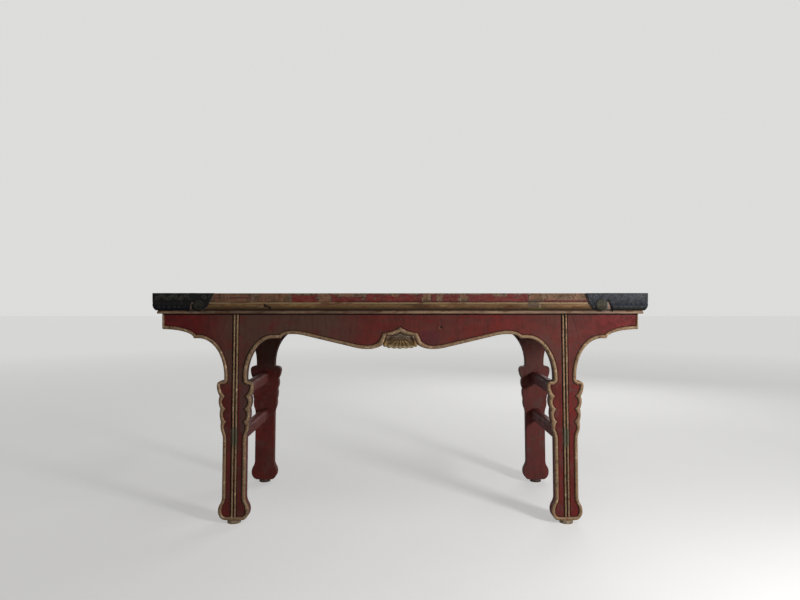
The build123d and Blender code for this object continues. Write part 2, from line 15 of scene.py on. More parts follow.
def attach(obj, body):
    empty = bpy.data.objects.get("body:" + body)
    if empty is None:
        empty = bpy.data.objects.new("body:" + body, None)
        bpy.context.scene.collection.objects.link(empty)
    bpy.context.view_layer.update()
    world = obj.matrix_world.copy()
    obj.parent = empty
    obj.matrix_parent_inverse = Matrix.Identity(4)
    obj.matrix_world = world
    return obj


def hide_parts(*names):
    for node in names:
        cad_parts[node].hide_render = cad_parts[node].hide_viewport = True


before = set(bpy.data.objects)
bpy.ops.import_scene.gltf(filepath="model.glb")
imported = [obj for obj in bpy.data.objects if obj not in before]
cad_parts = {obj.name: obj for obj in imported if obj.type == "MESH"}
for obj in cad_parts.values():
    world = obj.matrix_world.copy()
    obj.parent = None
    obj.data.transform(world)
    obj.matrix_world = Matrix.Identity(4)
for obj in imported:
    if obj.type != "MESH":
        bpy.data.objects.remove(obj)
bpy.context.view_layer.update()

# %% [markdown]
# ## The measures
# A joiner works from a rod, a board with every measure drawn on it. These are the same named measures, in
# millimetres, so a line drawn here falls on the edge of the solid that it stands for. The legs lean inwards
# by less than a degree, so their outline is drawn upright, as distance from the axis and distance along it,
# and leaned afterwards.

# %% The rod
MM = 0.001
top_z, frame_z, strip_z, pad_height = 858.5, 826.0, 783.0, 13.0
corner_x, face_y = 911.0, -318.5
front_face, leg_back, apron_back = -293.0, -251.0, -267.0
axis_floor, axis_top = 623.0, 611.5
lean = atan((axis_floor - axis_top) / strip_z)
rim_width, rim_height, corner_bead, arris = 13.5, 3.0, 8.0, 1.2
spandrel_from_axis, spandrel_foot, spandrel_half, spandrel_rise = 139.0, 545.0, 98.0, 146.0
shoulder_z, shoulder_foot, shoulder_tip = 645.0, 67.6, 27.5
print("lean of the legs in degrees:", round(lean * 180 / pi, 2))


# %% [markdown]
# ## Drawing lines
# Every edge of this table is made of a few kinds of line: straight runs, arcs and parts of an ellipse. Each
# small function below gives points along one of them and leaves out the last point, which is the first of
# the next line. A fixed count for each run means that two outlines, one set inside the other, have the same
# number of points, and can be joined point to point.

# %% Lines
def straight(start, stop, count=1):
    """Points along a straight run."""
    return [(start[0] + (stop[0] - start[0]) * i / count, start[1] + (stop[1] - start[1]) * i / count)
            for i in range(count)]


def ellipse(centre, half, start, stop, count):
    """Points along part of an ellipse, from one angle to another."""
    turns = [start + (stop - start) * i / count for i in range(count)]
    return [(centre[0] + half[0] * cos(t), centre[1] + half[1] * sin(t)) for t in turns]


def arc_leaving(start, direction, stop, count):
    """Points along the arc that leaves start in a direction and ends at stop."""
    side = (-direction[1], direction[0])
    reach = (stop[0] - start[0], stop[1] - start[1])
    radius = (reach[0] ** 2 + reach[1] ** 2) / (2 * (reach[0] * side[0] + reach[1] * side[1]))
    centre = (start[0] + side[0] * radius, start[1] + side[1] * radius)
    first = atan2(start[1] - centre[1], start[0] - centre[0])
    last = atan2(stop[1] - centre[1], stop[0] - centre[0])
    turn = (last - first) % (2 * pi) if radius > 0 else -((first - last) % (2 * pi))
    return ellipse(centre, (abs(radius), abs(radius)), first, first + turn, count)


def arc_through(start, middle, stop, count):
    """Points along the arc through three points."""
    (ax, az), (bx, bz), (cx, cz) = start, middle, stop
    double = 2 * (ax * (bz - cz) + bx * (cz - az) + cx * (az - bz))
    a, b, c = ax * ax + az * az, bx * bx + bz * bz, cx * cx + cz * cz
    centre = ((a * (bz - cz) + b * (cz - az) + c * (az - bz)) / double,
              (a * (cx - bx) + b * (ax - cx) + c * (bx - ax)) / double)
    radius = hypot(ax - centre[0], az - centre[1])
    first = atan2(az - centre[1], ax - centre[0])
    last = atan2(cz - centre[1], cx - centre[0])
    left_turn = (bx - ax) * (cz - az) - (bz - az) * (cx - ax) > 0
    turn = (last - first) % (2 * pi) if left_turn else -((first - last) % (2 * pi))
    return ellipse(centre, (radius, radius), first, first + turn, count)


print("a quarter circle in 3 steps:", [tuple(round(v, 2) for v in p)
                                       for p in ellipse((0, 0), (1, 1), 0, pi / 2, 3)])


# %% [markdown]
# ## Taking up a piece
# An operator works on whatever is selected, so each step begins by putting everything down and taking up one
# piece. In edit mode its faces or edges are picked by a test of their place, size or direction, as a hand
# would pick them. Smooth shading stops at every edge sharper than a given angle.

# %% Taking up, picking, closing
SHARP = radians(32)


def start_over():
    """Leaves edit mode and deselects everything."""
    if bpy.context.mode != "OBJECT":
        bpy.ops.object.mode_set(mode="OBJECT")
    bpy.ops.object.select_all(action="DESELECT")


def take_up(piece):
    """Selects one piece alone and makes it the active one."""
    start_over()
    piece.select_set(True)
    bpy.context.view_layer.objects.active = piece


def pick(piece, parts, wanted):
    """Selects those faces or edges of a piece in edit mode that pass a test, and no others."""
    net = bmesh.from_edit_mesh(piece.data)
    for part in getattr(net, parts):
        part.select_set(wanted(part))
    bmesh.update_edit_mesh(piece.data)


def close_up(piece, merge=0.02):
    """Merges points that fell together and turns every face outwards."""
    take_up(piece)
    bpy.ops.object.mode_set(mode="EDIT")
    bpy.ops.mesh.select_all(action="SELECT")
    bpy.ops.mesh.remove_doubles(threshold=merge * MM)
    bpy.ops.mesh.dissolve_degenerate(threshold=0.005 * MM)
    bpy.ops.mesh.normals_make_consistent(inside=False)
    bpy.ops.object.mode_set(mode="OBJECT")
    bpy.ops.object.shade_smooth_by_angle(angle=SHARP)
    return piece


print("edges sharper than", round(SHARP * 180 / pi), "degrees stay crisp")

# %% [markdown]
# ## One way to build carved boards
# Legs and aprons were sawn to an outline and then carved: a half-round bead along the edge, a groove inside
# it, and a flat field. Inset in edit mode would cross itself at the pointed cusps of the scallops. So the
# start is a flat face with as many corners as the outline, laid on its back edge. It is extruded again and
# again, and each time its corners are set on the next line of the section, as far in and as far out as the
# carver cut. Each corner keeps its number through every extrusion, so it always finds its own point. Values
# ride along with the points, such as how gilded the surface is there and how much grime and painted shade it
# takes, and the finishes read them.

# %% Extruding from line to line
def loft(name, lines, **layers):
    """A closed piece through lines of equally many points, in millimetres, with its layers' values point by
    point."""
    start_over()
    bpy.ops.mesh.primitive_circle_add(vertices=len(lines[0]), radius=1, fill_type="NGON", calc_uvs=False)
    piece = bpy.context.object
    piece.name = piece.data.name = name
    piece.data.attributes.new("station", "INT", "POINT").data.foreach_set("value", range(len(lines[0])))
    for layer in layers:
        piece.data.attributes.new(layer, "FLOAT", "POINT")
    bpy.ops.object.mode_set(mode="EDIT")
    bpy.ops.mesh.select_all(action="SELECT")
    for row, line in enumerate(lines):
        if row:
            bpy.ops.mesh.extrude_region()
        net = bmesh.from_edit_mesh(piece.data)
        station = net.verts.layers.int["station"]
        for corner in net.verts:
            if corner.select:
                corner.co = Vector(line[corner[station]]) * MM
                for layer, values in layers.items():
                    corner[net.verts.layers.float[layer]] = values[row][corner[station]]
        bmesh.update_edit_mesh(piece.data)
    bpy.ops.object.mode_set(mode="OBJECT")
    return piece


def joined(name, pieces):
    """Several meshes made one."""
    start_over()
    for piece in pieces:
        piece.select_set(True)
    bpy.context.view_layer.objects.active = pieces[0]
    bpy.ops.object.join()
    pieces[0].name = pieces[0].data.name = name
    return pieces[0]


# %% [markdown]
# ## Copies at the other corners
# The table is the same at all four corners, so a piece is made once, at the front right, and mirrored. A
# negative scale turns the faces inside out, and close_up turns them back. The grooves on the left of the
# beads are painted darker than those on the right: painted shadow, with the light from the right. A value
# named lee says on which side of its bead a groove lies, and it is turned over with the copy.

# %% Mirrored copies
CORNERS = {"front_right": (False, False), "front_left": (True, False),
           "back_right": (False, True), "back_left": (True, True)}


def copy_of(piece, name):
    """A copy with a mesh of its own."""
    take_up(piece)
    bpy.ops.object.duplicate(linked=False)
    copy = bpy.context.object
    copy.name = copy.data.name = name
    return copy


def mirrored(piece, name, left, back):
    """A copy of a front right piece at another corner of the table."""
    copy = copy_of(piece, name)
    copy.scale = (-1 if left else 1, -1 if back else 1, 1)
    bpy.ops.object.transform_apply(location=False, rotation=False, scale=True)
    if left and "lee" in copy.data.attributes:
        for value in copy.data.attributes["lee"].data:
            value.value = -value.value
    return close_up(copy, merge=0.001)


def at_all_corners(piece, name):
    """A front right piece and its copies, by corner. Each copy's name is the given one and its corner."""
    return {corner: mirrored(piece, name + corner, left, back) if left or back else piece
            for corner, (left, back) in CORNERS.items()}


print("corners of the table:", list(CORNERS))

# %% [markdown]
# ## The section of the carved edge
# Read from the edge inwards, the section climbs from the side of the board over a half-round bead, drops
# into a groove cut with a V tool, and comes up to the flat field, three millimetres below the bead. The bead
# is gilded, and the groove holds grime and painted shade. Each row gives distance in from the edge, height
# against the top of the bead, how gilded it is there, and how much grime and painted shade. The gilding goes
# round to the side of the board.

# %% The rim's section
RIM = [
    (0.0, -12.5, 0.0, 0.1),
    (0.0, -10.5, 0.9, 0.1),
    (0.0, -4.4, 1.0, 0.05),
    (0.5, -2.7, 1.0, 0.0),
    (1.7, -1.35, 1.0, 0.0),
    (3.4, -0.5, 1.0, 0.0),
    (5.2, -0.08, 1.0, 0.0),
    (6.6, 0.0, 1.0, 0.0),
    (8.2, -0.3, 1.0, 0.0),
    (9.9, -1.1, 1.0, 0.0),
    (11.3, -2.3, 1.0, 0.05),
    (12.3, -4.2, 0.8, 0.15),
    (12.9, -5.0, 0.2, 0.45),
    (13.8, -4.8, 0.0, 0.5),
    (14.6, -3.5, 0.0, 0.4),
    (15.4, -3.0, 0.0, 0.3),
    (17.0, -3.0, 0.0, 0.05),
]
field_inset = RIM[-1][0]


def carved_board(name, outline, plain, back_y, place, edge=arris):
    """A board with this section along its edge. outline gives the points for a distance in from the edge.
    plain names the points that have no bead and stay far back until the last row lifts them to the field.
    place turns (x, z) into a place with a given y, and edge is the rounding at the back."""
    rows = [(edge, back_y, 0.0, 0.0), (0.0, back_y - edge, 0.0, 0.0)]
    rows += [(inset, front_face - height, gold, dirt_and_shade) for inset, height, gold, dirt_and_shade in RIM]
    outwards = [(Vector(rim) - Vector(field)).normalized().x
                for rim, field in zip(outline(0.0), outline(field_inset))]
    lines, gilt, grime = [], [], []
    for row, (inset, y, gold, dirt_and_shade) in enumerate(rows):
        points = outline(inset)
        seam_y = back_y if row == 0 else back_y - edge if row + 1 < len(rows) else front_face + rim_height
        lines.append([place(x, z, seam_y if i in plain else y) for i, (x, z) in enumerate(points)])
        gilt.append([0.0 if i in plain else gold for i in range(len(points))])
        grime.append([0.0 if i in plain else dirt_and_shade for i in range(len(points))])
    return close_up(loft(name, lines, gilt=gilt, grime=grime, lee=[outwards] * len(rows)))


print("rows in the rim's section:", len(RIM))

# %% [markdown]
# ## Legs
# The leg is one flat plank. At its head it narrows to a wedge, the inserted shoulder, which lies flush in
# the apron, and the spandrel's curve runs from the leg over the seam into the apron. Below the neck comes a
# flange, three scallops with sharp cusps between them, a long shaft and a spreading foot. At a cusp two bead
# edges meet at an angle, so the inner line of the bead runs much deeper there, and shows as a barb.

# %% Outline of a leg
seam_gap, past_rim, cusp_depth = 0.15, 18.0, 1.6
neck_half, shaft_half, foot_half, foot_flat, foot_middle = 41.0, 43.0, 57.5, 30.0, 15.0
foot_z, foot_widest_z, foot_neck_z, shaft_top_z = 12.5, 47.0, 98.0, 314.0
neck_hollow, flange_corner, flange_half, flange_top_z = 8.0, 16.0, 68.5, 531.0
taper_half, taper_z = 49.0, 342.0
CUSPS = [(57.5, 475.0), (54.0, 428.0), (51.4, 380.0)]
CRESTS = [(60.5, 455.0), (56.0, 412.0), (52.4, 362.0)]


def axis_x(z):
    """X of the right leg's axis at a height."""
    return axis_floor - z * tan(lean)


def shoulder_seam(z):
    """Half width of the shoulder at a height along the axis, less the gap at its seam."""
    half = shoulder_foot - (z - shoulder_z) * (shoulder_foot - shoulder_tip) / (strip_z - shoulder_z)
    return half - seam_gap


def spandrel(centre, side, inset, seam, count):
    """Where the spandrel's ellipse meets the seam, as an angle, and its points from there up to its top. Side
    says whether the ellipse lies to the right of the leg or to the left, and seam gives the seam's x at a
    height."""
    half, rise = spandrel_half + inset, spandrel_rise + inset
    low, high = pi / 2, pi
    for _ in range(40):
        turn = (low + high) / 2
        x, z = centre[0] + side * half * cos(turn), centre[1] + rise * sin(turn)
        low, high = (turn, high) if side * (x - seam(z)) > 0 else (low, turn)
    return turn, [(centre[0] + side * half * cos(turn + (pi / 2 - turn) * i / count),
                   centre[1] + rise * sin(turn + (pi / 2 - turn) * i / count)) for i in range(count)]


def leg_outline(inset):
    """The whole outline, from the right corner of the head round the foot to the left corner."""
    neck, shaft, widest, flange = (half - inset for half in (neck_half, shaft_half, foot_half, flange_half))
    cusps = [(x - cusp_depth * inset, z) for x, z in CUSPS]
    crests = [(x - inset, z) for x, z in CRESTS]
    taper, swell = (taper_half - inset, taper_z), ((shaft + widest) / 2, (foot_neck_z + foot_widest_z) / 2)
    corner, corner_z = flange_corner - inset, flange_top_z - flange_corner
    hollow, hollow_z = neck_half + neck_hollow, flange_top_z + neck_hollow
    centre = (spandrel_from_axis, spandrel_foot)
    turn, _ = spandrel(centre, 1, inset, shoulder_seam, 1)
    _, above = spandrel(centre, 1, past_rim, shoulder_seam, 1)
    line = [(shoulder_tip - seam_gap, strip_z), above[0]]
    line += ellipse(centre, (spandrel_half + inset, spandrel_rise + inset), turn, pi, 22)
    line += straight((neck, spandrel_foot), (neck, hollow_z))
    line += ellipse((hollow, hollow_z), (neck_hollow + inset,) * 2, pi, 1.5 * pi, 10)
    line += straight((hollow, flange_top_z - inset), (flange_half - flange_corner, flange_top_z - inset))
    line += ellipse((flange_half - flange_corner, corner_z), (corner, corner), pi / 2, 0, 12)
    line += arc_leaving((flange, corner_z), (0, -1), cusps[0], 14)
    line += arc_through(cusps[0], crests[0], cusps[1], 14)
    line += arc_through(cusps[1], crests[1], cusps[2], 14)
    line += arc_through(cusps[2], crests[2], taper, 10)
    line += [taper] + arc_leaving((shaft, shaft_top_z), (0, 1), taper, 8)[:0:-1]
    line += straight((shaft, shaft_top_z), (shaft, foot_neck_z), 8)
    line += arc_leaving((shaft, foot_neck_z), (0, -1), swell, 9) + [swell]
    line += arc_leaving((widest, foot_widest_z), (0, 1), swell, 9)[:0:-1]
    line += ellipse((foot_flat, foot_widest_z),
                    (foot_half - foot_flat - inset, foot_widest_z - foot_z - inset), 0, -pi / 2, 14)
    line += [(foot_flat, foot_z + inset), (foot_middle, foot_z + inset)]
    return line + [(0.0, foot_z + inset)] + [(-x, z) for x, z in reversed(line)]


def on_leg(x, z, y):
    """The right leg leans: a point beside its axis and along it, placed at the table."""
    up = z * cos(lean) + x * sin(lean)
    return axis_floor + x * cos(lean) - z * sin(lean), y, strip_z if z == strip_z else max(up, pad_height)


corners_of_leg = len(leg_outline(0))
print("points round the leg:", corners_of_leg)

# %% [markdown]
# Down the middle of each leg run two gilded beads side by side. They are made as a strip of their own, half
# sunk in a trough. The trough comes from two bisect cuts down the field and one extrusion inwards, and it
# gives the beads a groove on each side, painted dark with grime and shade, darker on the left of each bead.

# %% The leg and its trough
trough_half, trough_depth, trough_cut_z = 13.0, 2.6, 400.0
field_area = 1e-3  # in square metres: on the leg's front only the faces of the field are larger
leg = carved_board("leg_board", leg_outline, {0, 1, corners_of_leg - 2, corners_of_leg - 1}, leg_back, on_leg)


def on_field(face):
    """Whether a face is part of the leg's flat field."""
    field_y = (front_face + rim_height) * MM
    level = all(abs(corner.co.y - field_y) < 0.01 * MM for corner in face.verts)
    return level and face.calc_area() > field_area


def down_the_middle(face):
    """Whether a face of the field lies on the leg's axis."""
    middle = face.calc_center_median() / MM
    return on_field(face) and abs(middle.x - axis_x(middle.z)) < trough_half / 2


def cut_trough(piece):
    """Sinks a strip down the middle of the leg's field."""
    take_up(piece)
    bpy.ops.object.mode_set(mode="EDIT")
    bpy.ops.mesh.select_mode(type="FACE")
    for side in (-1, 1):
        pick(piece, "faces", on_field)
        x, y, z = on_leg(side * trough_half, trough_cut_z, 0)
        bpy.ops.mesh.bisect(plane_co=(x * MM, y * MM, z * MM), plane_no=(cos(lean), 0, sin(lean)))
    pick(piece, "faces", down_the_middle)
    bpy.ops.mesh.extrude_region()
    bpy.ops.transform.translate(value=(0, trough_depth * MM, 0))
    net = bmesh.from_edit_mesh(piece.data)
    grime, lee = (net.verts.layers.float[layer] for layer in ("grime", "lee"))
    # The trough's floor takes full grime and painted shade, more on the left of the axis: painted shadow from
    # the light on the right.
    for corner in net.verts:
        if corner.select:
            corner[grime] = 1.0
            corner[lee] = -1.0 if corner.co.x / MM > axis_x(corner.co.z / MM) else 1.0
    bmesh.update_edit_mesh(piece.data)
    bpy.ops.object.mode_set(mode="OBJECT")
    bpy.ops.object.shade_smooth_by_angle(angle=SHARP)


cut_trough(leg)
print("the leg with its trough:", len(leg.data.polygons), "faces")

# %% The twin beads
bead_from_axis, bead_half, bead_rise, bead_foot, bead_steps = 5.7, 3.5, 3.7, -3.9, 8
beads_foot_z, beads_rows = 24.0, 48


def bead_section():
    """Two half-round beads side by side, as distance from the axis, height, gilding, and grime with painted
    shade.
    """
    points = [(10.0, -6.4, 0.0, 1.0), (9.3, -5.4, 0.2, 1.0)]
    for centre in (bead_from_axis, -bead_from_axis):
        for i in range(bead_steps + 1):
            turn = pi * i / bead_steps
            points.append((centre + bead_half * cos(turn), bead_foot + bead_rise * sin(turn), 1.0,
                           0.8 if i in (0, bead_steps) else 0.0))
        if centre > 0:
            points += [(1.8, -5.3, 0.2, 1.0), (-1.8, -5.3, 0.2, 1.0)]
    return points + [(-9.3, -5.4, 0.2, 1.0), (-10.0, -6.4, 0.0, 1.0)]


section = bead_section()
# The strip's outer edges: more painted shadow on its left edge, less on its right.
across_beads = [-1.0 if x > 9.0 else 1.0 if x < -8.8 else 0.0 for x, _, _, _ in section]
heights = [beads_foot_z + (strip_z - beads_foot_z) * i / beads_rows for i in range(beads_rows + 1)]
beads = close_up(loft(
    "leg_beads", [[on_leg(x, z, front_face - height) for x, height, _, _ in section] for z in heights],
    gilt=[[gold for _, _, gold, _ in section]] * len(heights),
    grime=[[dirt_and_shade for _, _, _, dirt_and_shade in section]] * len(heights), lee=[across_beads] * len(heights)))
legs = at_all_corners(joined("carved_leg_front_right", [leg, beads]), "carved_leg_")
for corner, piece in legs.items():
    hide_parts("leg_" + corner)
print("legs:", len(legs), "faces each:", len(legs["front_right"].data.polygons))

# %% [markdown]
# ## Long aprons
# The apron hangs under the top from end to end. Its lower edge runs from the short arch at the end over a
# spandrel on each side of the leg, up into a small crest, and down a long ogee, a slope between two arcs, to
# the niche. The wedge of the leg stands in it, so what shows is three boards: a middle and two ends. Each
# has the same carved section, but none along its top and its seams. At the corners of the table the front
# and side aprons meet in a mitre, cut here with bisect.

# %% Outlines of the long apron
apron_half, niche_floor, niche_back = 886.5, 668.0, -279.0
spandrel_top = spandrel_foot + spandrel_rise
arch_half, arch_rise, crest_half, crest_rise = 117.0, 34.0, 44.0, 15.5
crest_top, slope_top, slope_foot, lobe = (402.0, 706.5), (357.2, 701.2), (169.1, 656.3), (120.0, 650.5)
niche_foot, niche_shoulder = (66.0, 665.0), (52.0, 702.0)
niche_middle, niche_tip = (26.0, 705.0), (0.0, 715.0)


def seam_line(side):
    """The spandrel's middle to the right (1) or left (-1) of the leg, and the seam's x at a height there."""
    foot_x, _, foot_z = on_leg(side * shoulder_foot, shoulder_z, 0)
    tip_x, _, tip_z = on_leg(side * shoulder_tip, strip_z, 0)
    climb = (foot_z - spandrel_foot) / spandrel_rise
    centre = (foot_x + side * spandrel_half * sqrt(1 - climb**2), spandrel_foot)
    return centre, lambda z: foot_x + (tip_x - foot_x) * (z - foot_z) / (tip_z - foot_z) + side * seam_gap


def from_seam(side, inset):
    """From the seam's top down to the spandrel and along it to its top, and the spandrel's middle."""
    centre, seam = seam_line(side)
    line = [(seam(strip_z), strip_z), spandrel(centre, side, past_rim, seam, 1)[1][0]]
    return line + spandrel(centre, side, inset, seam, 22)[1], centre


def apron_end_outline(inset):
    """From the seam's top down to the spandrel, along to the end arch, and up the end of the apron."""
    line, centre = from_seam(1, inset)
    half, rise = arch_half + inset, arch_rise + inset
    end_x = apron_half - inset * corner_bead / rim_width
    first, last = pi - atan2(inset, sqrt(rise**2 - inset**2)), pi / 2 + (apron_half - end_x) / half
    line += straight((centre[0], spandrel_top + inset),
                     (apron_half - half * sqrt(1 - (inset / rise) ** 2), spandrel_top + inset))
    line += ellipse((apron_half, spandrel_top), (half, rise), first, last, 22)
    return line + straight((end_x, spandrel_top + rise), (end_x, strip_z), 3) + [(end_x, strip_z)]


def apron_middle_outline(inset):
    """From the right seam's top over spandrel, crest and ogee to the niche's tip, and back on the left."""
    line, centre = from_seam(-1, inset)
    half, rise = crest_half + inset, crest_rise + inset
    top, high, low, lowest = [(x, z + inset) for x, z in (crest_top, slope_top, slope_foot, lobe)]
    foot, shoulder, middle, tip = [
        (x + out * inset, z + up * inset) for (x, z), out, up in (
            (niche_foot, 1, 1.1), (niche_shoulder, 1, 0.7), (niche_middle, 0.5, 0.9), (niche_tip, 0, 1.4))]
    line += straight((centre[0], spandrel_top + inset),
                     (crest_top[0] + half * sqrt(1 - (inset / rise) ** 2), spandrel_top + inset))
    line += ellipse((crest_top[0], spandrel_top), (half, rise),
                    atan2(inset, sqrt(rise**2 - inset**2)), pi / 2, 12)
    line += arc_leaving(top, (-1, 0), high, 12) + straight(high, low, 12)
    line += [low] + arc_leaving(lowest, (1, 0), low, 12)[:0:-1] + arc_leaving(lowest, (-1, 0), foot, 12)
    line += straight(foot, shoulder, 4) + arc_through(shoulder, middle, tip, 16)
    return line + [tip] + [(-x, z) for x, z in reversed(line)]


print("points:", len(apron_end_outline(0)), "and", len(apron_middle_outline(0)))


# %% Long aprons
def across_front(x, z, y):
    """A point of a front board at the table."""
    return x, y, z


def cut_mitre(piece, corner, outwards):
    """Cuts a board on a slant at a corner of the table. What lies outwards of the cut goes."""
    take_up(piece)
    bpy.ops.object.mode_set(mode="EDIT")
    bpy.ops.mesh.select_all(action="SELECT")
    bpy.ops.mesh.bisect(plane_co=(corner[0] * MM, corner[1] * MM, 0), plane_no=outwards,
                        use_fill=True, clear_outer=True)
    bpy.ops.object.mode_set(mode="OBJECT")


def behind_niche(inset):
    """The apron's outline behind the niche, where it stops at the niche's floor."""
    reach = niche_foot[0] + 0.5
    return [(x, min(z, niche_floor) if abs(x) < reach else z) for x, z in apron_middle_outline(inset)]


apron_end = carved_board("apron_end", apron_end_outline, {0, 1}, apron_back, across_front)
cut_mitre(apron_end, (apron_half, front_face), (1, 1, 0))
middle_count = len(apron_middle_outline(0))
middle = carved_board("apron_middle", apron_middle_outline, {0, 1, middle_count - 2, middle_count - 1},
                      niche_back, across_front, edge=0.1)
backing = close_up(loft("apron_backing", [
    [(x, y, z) for x, z in behind_niche(inset)]
    for inset, y in ((arris, apron_back), (0, apron_back - arris), (0, niche_back))]))
other_end = mirrored(apron_end, "other_end", True, False)
apron_front = joined("carved_apron_front", [middle, backing, apron_end, other_end])
apron_rear = mirrored(apron_front, "carved_apron_back", False, True)
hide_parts("apron_front")
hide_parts("apron_back")
print("long aprons:", apron_front.name, apron_rear.name, "faces:", len(apron_front.data.polygons))

# %% [markdown]
# ## Short aprons
# Between the corners, under each end of the top, hangs a plain board with the same bead along its lower edge
# and narrower upright beads at its ends. It is the same loft, turned to face sideways by the place function,
# and mitred at both ends.

# %% Short aprons
def short_outline(inset):
    """A plain board: down one end, along the lower edge, up the other end."""
    end = -front_face - inset * corner_bead / rim_width
    low = spandrel_top + arch_rise + inset
    return [(-end, strip_z), (-end, (strip_z + low) / 2), (-end, low), (0, low), (end, low),
            (end, (strip_z + low) / 2), (end, strip_z)]


def across_end(x, z, y):
    """A point of a side board at the table, where y of a front board becomes depth in from the right end."""
    return apron_half - (y - front_face), x, z


apron_right = carved_board("carved_apron_right", short_outline, set(), apron_back, across_end)
for back in (-1, 1):
    cut_mitre(apron_right, (apron_half, -back * front_face), (-1, back, 0))
apron_left = mirrored(apron_right, "carved_apron_left", True, False)
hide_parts("apron_right")
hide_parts("apron_left")
print("short aprons:", apron_right.name, apron_left.name)

# %% [markdown]
# ## The carved leaf
# A leaf hangs in the niche in the middle of each long apron: a fluted fan with a dark hollow band and a
# lobed, rolled rim. All its lines run to one point near its top, so the outline is drawn once and shrunk
# towards that point, row by row, while the height follows the carving: rim, hollow, dome.

# %% The leaf
def leaf_outline():
    """From the tip down the right side, over the lobes to the left and back up."""
    tip, middle, shoulder = (0.0, 714.6), (26.0, 704.6), (51.6, 701.6)
    notches = [(63.4, 667.0), (52.0, 661.0), (33.0, 657.0), (12.0, 655.2)]
    lobes = []
    for start, stop in zip(notches, notches[1:]):
        low = ((start[0] + stop[0]) / 2 + 1.5, min(start[1], stop[1]) - 2.6)
        lobes += arc_through(start, low, stop, 10)
    half = arc_through(tip, middle, shoulder, 14) + straight(shoulder, notches[0], 10) + lobes
    last_x, last_z = notches[-1]
    lowest = arc_through((last_x, last_z), (0.0, 651.6), (-last_x, last_z), 12)
    return half + lowest + [(-x, z) for x, z in reversed(half[1:] + [notches[-1]])]


# A row gives a share of the way from the fan's point to the rim, then height, gilding, grime with painted
# shade, and fluting.
LEAF_ROWS = [
    (1.00, 0.0, 0.5, 0.6, 0.0),
    (1.00, 7.0, 0.9, 0.2, 0.0),
    (0.985, 9.0, 1.0, 0.0, 0.3),
    (0.95, 10.6, 1.0, 0.0, 0.8),
    (0.90, 11.2, 1.0, 0.0, 1.0),
    (0.85, 10.6, 1.0, 0.1, 1.0),
    (0.81, 9.0, 0.9, 0.3, 0.8),
    (0.78, 7.2, 0.9, 0.5, 0.6),
    (0.70, 6.6, 0.9, 0.55, 0.5),
    (0.62, 6.9, 0.9, 0.5, 0.6),
    (0.57, 8.6, 0.9, 0.2, 0.9),
    (0.50, 9.6, 0.9, 0.0, 1.2),
    (0.40, 10.2, 0.9, 0.0, 1.2),
    (0.30, 10.2, 0.9, 0.1, 1.0),
    (0.20, 9.6, 0.9, 0.15, 0.8),
    (0.10, 8.6, 0.9, 0.25, 0.4),
    (0.03, 8.0, 0.9, 0.3, 0.0),
]
fan_x, fan_z, leaf_back = 0.0, 700.0, -279.3
flutes, fan_spread, flat_share = 17, 1.9, 0.2
rim = leaf_outline()
turns = [atan2(x - fan_x, fan_z - z) for x, z in rim]
leaf_lines, leaf_gilt, leaf_grime = [], [], []
for share, height, gold, dirt_and_shade, flute in LEAF_ROWS:
    proud = [flute * cos(turn * flutes) * (1.0 if abs(turn) < fan_spread else flat_share) for turn in turns]
    leaf_lines.append([(fan_x + (x - fan_x) * share, leaf_back - height - r, fan_z + (z - fan_z) * share)
                       for (x, z), r in zip(rim, proud)])
    # Between the flutes grime and painted shade are deeper, and on their ridges the gilding is brighter.
    leaf_gilt.append([min(1.0, gold + 0.15 * r) for r in proud])
    leaf_grime.append([max(0.0, min(1.0, dirt_and_shade - 0.4 * r)) for r in proud])
leaf_front = close_up(loft("carved_leaf_front", leaf_lines, gilt=leaf_gilt, grime=leaf_grime))
leaf_rear = mirrored(leaf_front, "carved_leaf_back", False, True)
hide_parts("apron_leaf_front")
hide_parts("apron_leaf_back")
print("leaf: rim of", len(rim), "points,", len(LEAF_ROWS), "rows")

# %% [markdown]
# ## Mouldings and top frame
# Under the top frame runs a moulded strip: a quirk, a bold ovolo, and a small bead at its foot, all gilded.
# Both the strip and the frame member above it are one section drawn from corner to corner, with mitred ends.
# Hands and cloths have worn the top's upper edge unevenly for a long time, so the section is drawn anew every
# few millimetres and its rounding follows a slow noise. Where lacquer has flaked from the frame, the clay
# ground lies bare, and another value, bare, says where.

# %% Where the frame is bare
FLAKED = [  # from, to, lowest, highest, how much of the lacquer is gone
    (-720.0, -530.0, 847.0, 858.5, 0.95),
    (-720.0, -530.0, 837.0, 847.0, 0.44),
    (-720.0, -530.0, 826.0, 837.0, 0.95),
    (-552.0, -392.0, 826.0, 858.5, 0.95),
    (-395.0, -300.0, 850.0, 858.5, 0.5),
    (-318.0, -245.0, 829.0, 852.0, 0.78),
    (-250.0, -130.0, 847.0, 858.5, 0.72),
    (-150.0, -116.0, 828.0, 858.5, 0.8),
    (-44.0, 6.0, 846.0, 858.5, 0.85),
    (72.0, 122.0, 826.0, 858.5, 0.95),
    (124.0, 168.0, 830.0, 858.5, 0.8),
    (208.0, 256.0, 826.0, 858.5, 0.95),
    (330.0, 404.0, 848.0, 858.5, 0.62),
    (404.0, 467.0, 838.0, 858.5, 0.42),
    (462.0, 536.0, 826.0, 858.5, 0.95),
    (515.0, 700.0, 833.0, 858.5, 0.74),
]
worn_above, worn_most, worn_least, fading = 852.0, 0.56, 0.12, 20.0


def bareness(place, z):
    """How much of the lacquer has gone from the frame's face at a place along it and a height."""
    most = worn_most if z > worn_above else worn_least
    for start, stop, low, high, amount in FLAKED:
        if low <= z <= high:
            most = max(most, amount * min(1.0, max(0.0, min(place - start, stop - place) / fading)))
    return most + 0.25 * noise.noise(Vector((place / 22, z / 9, 4.4)))


print("flaked stretches:", len(FLAKED))


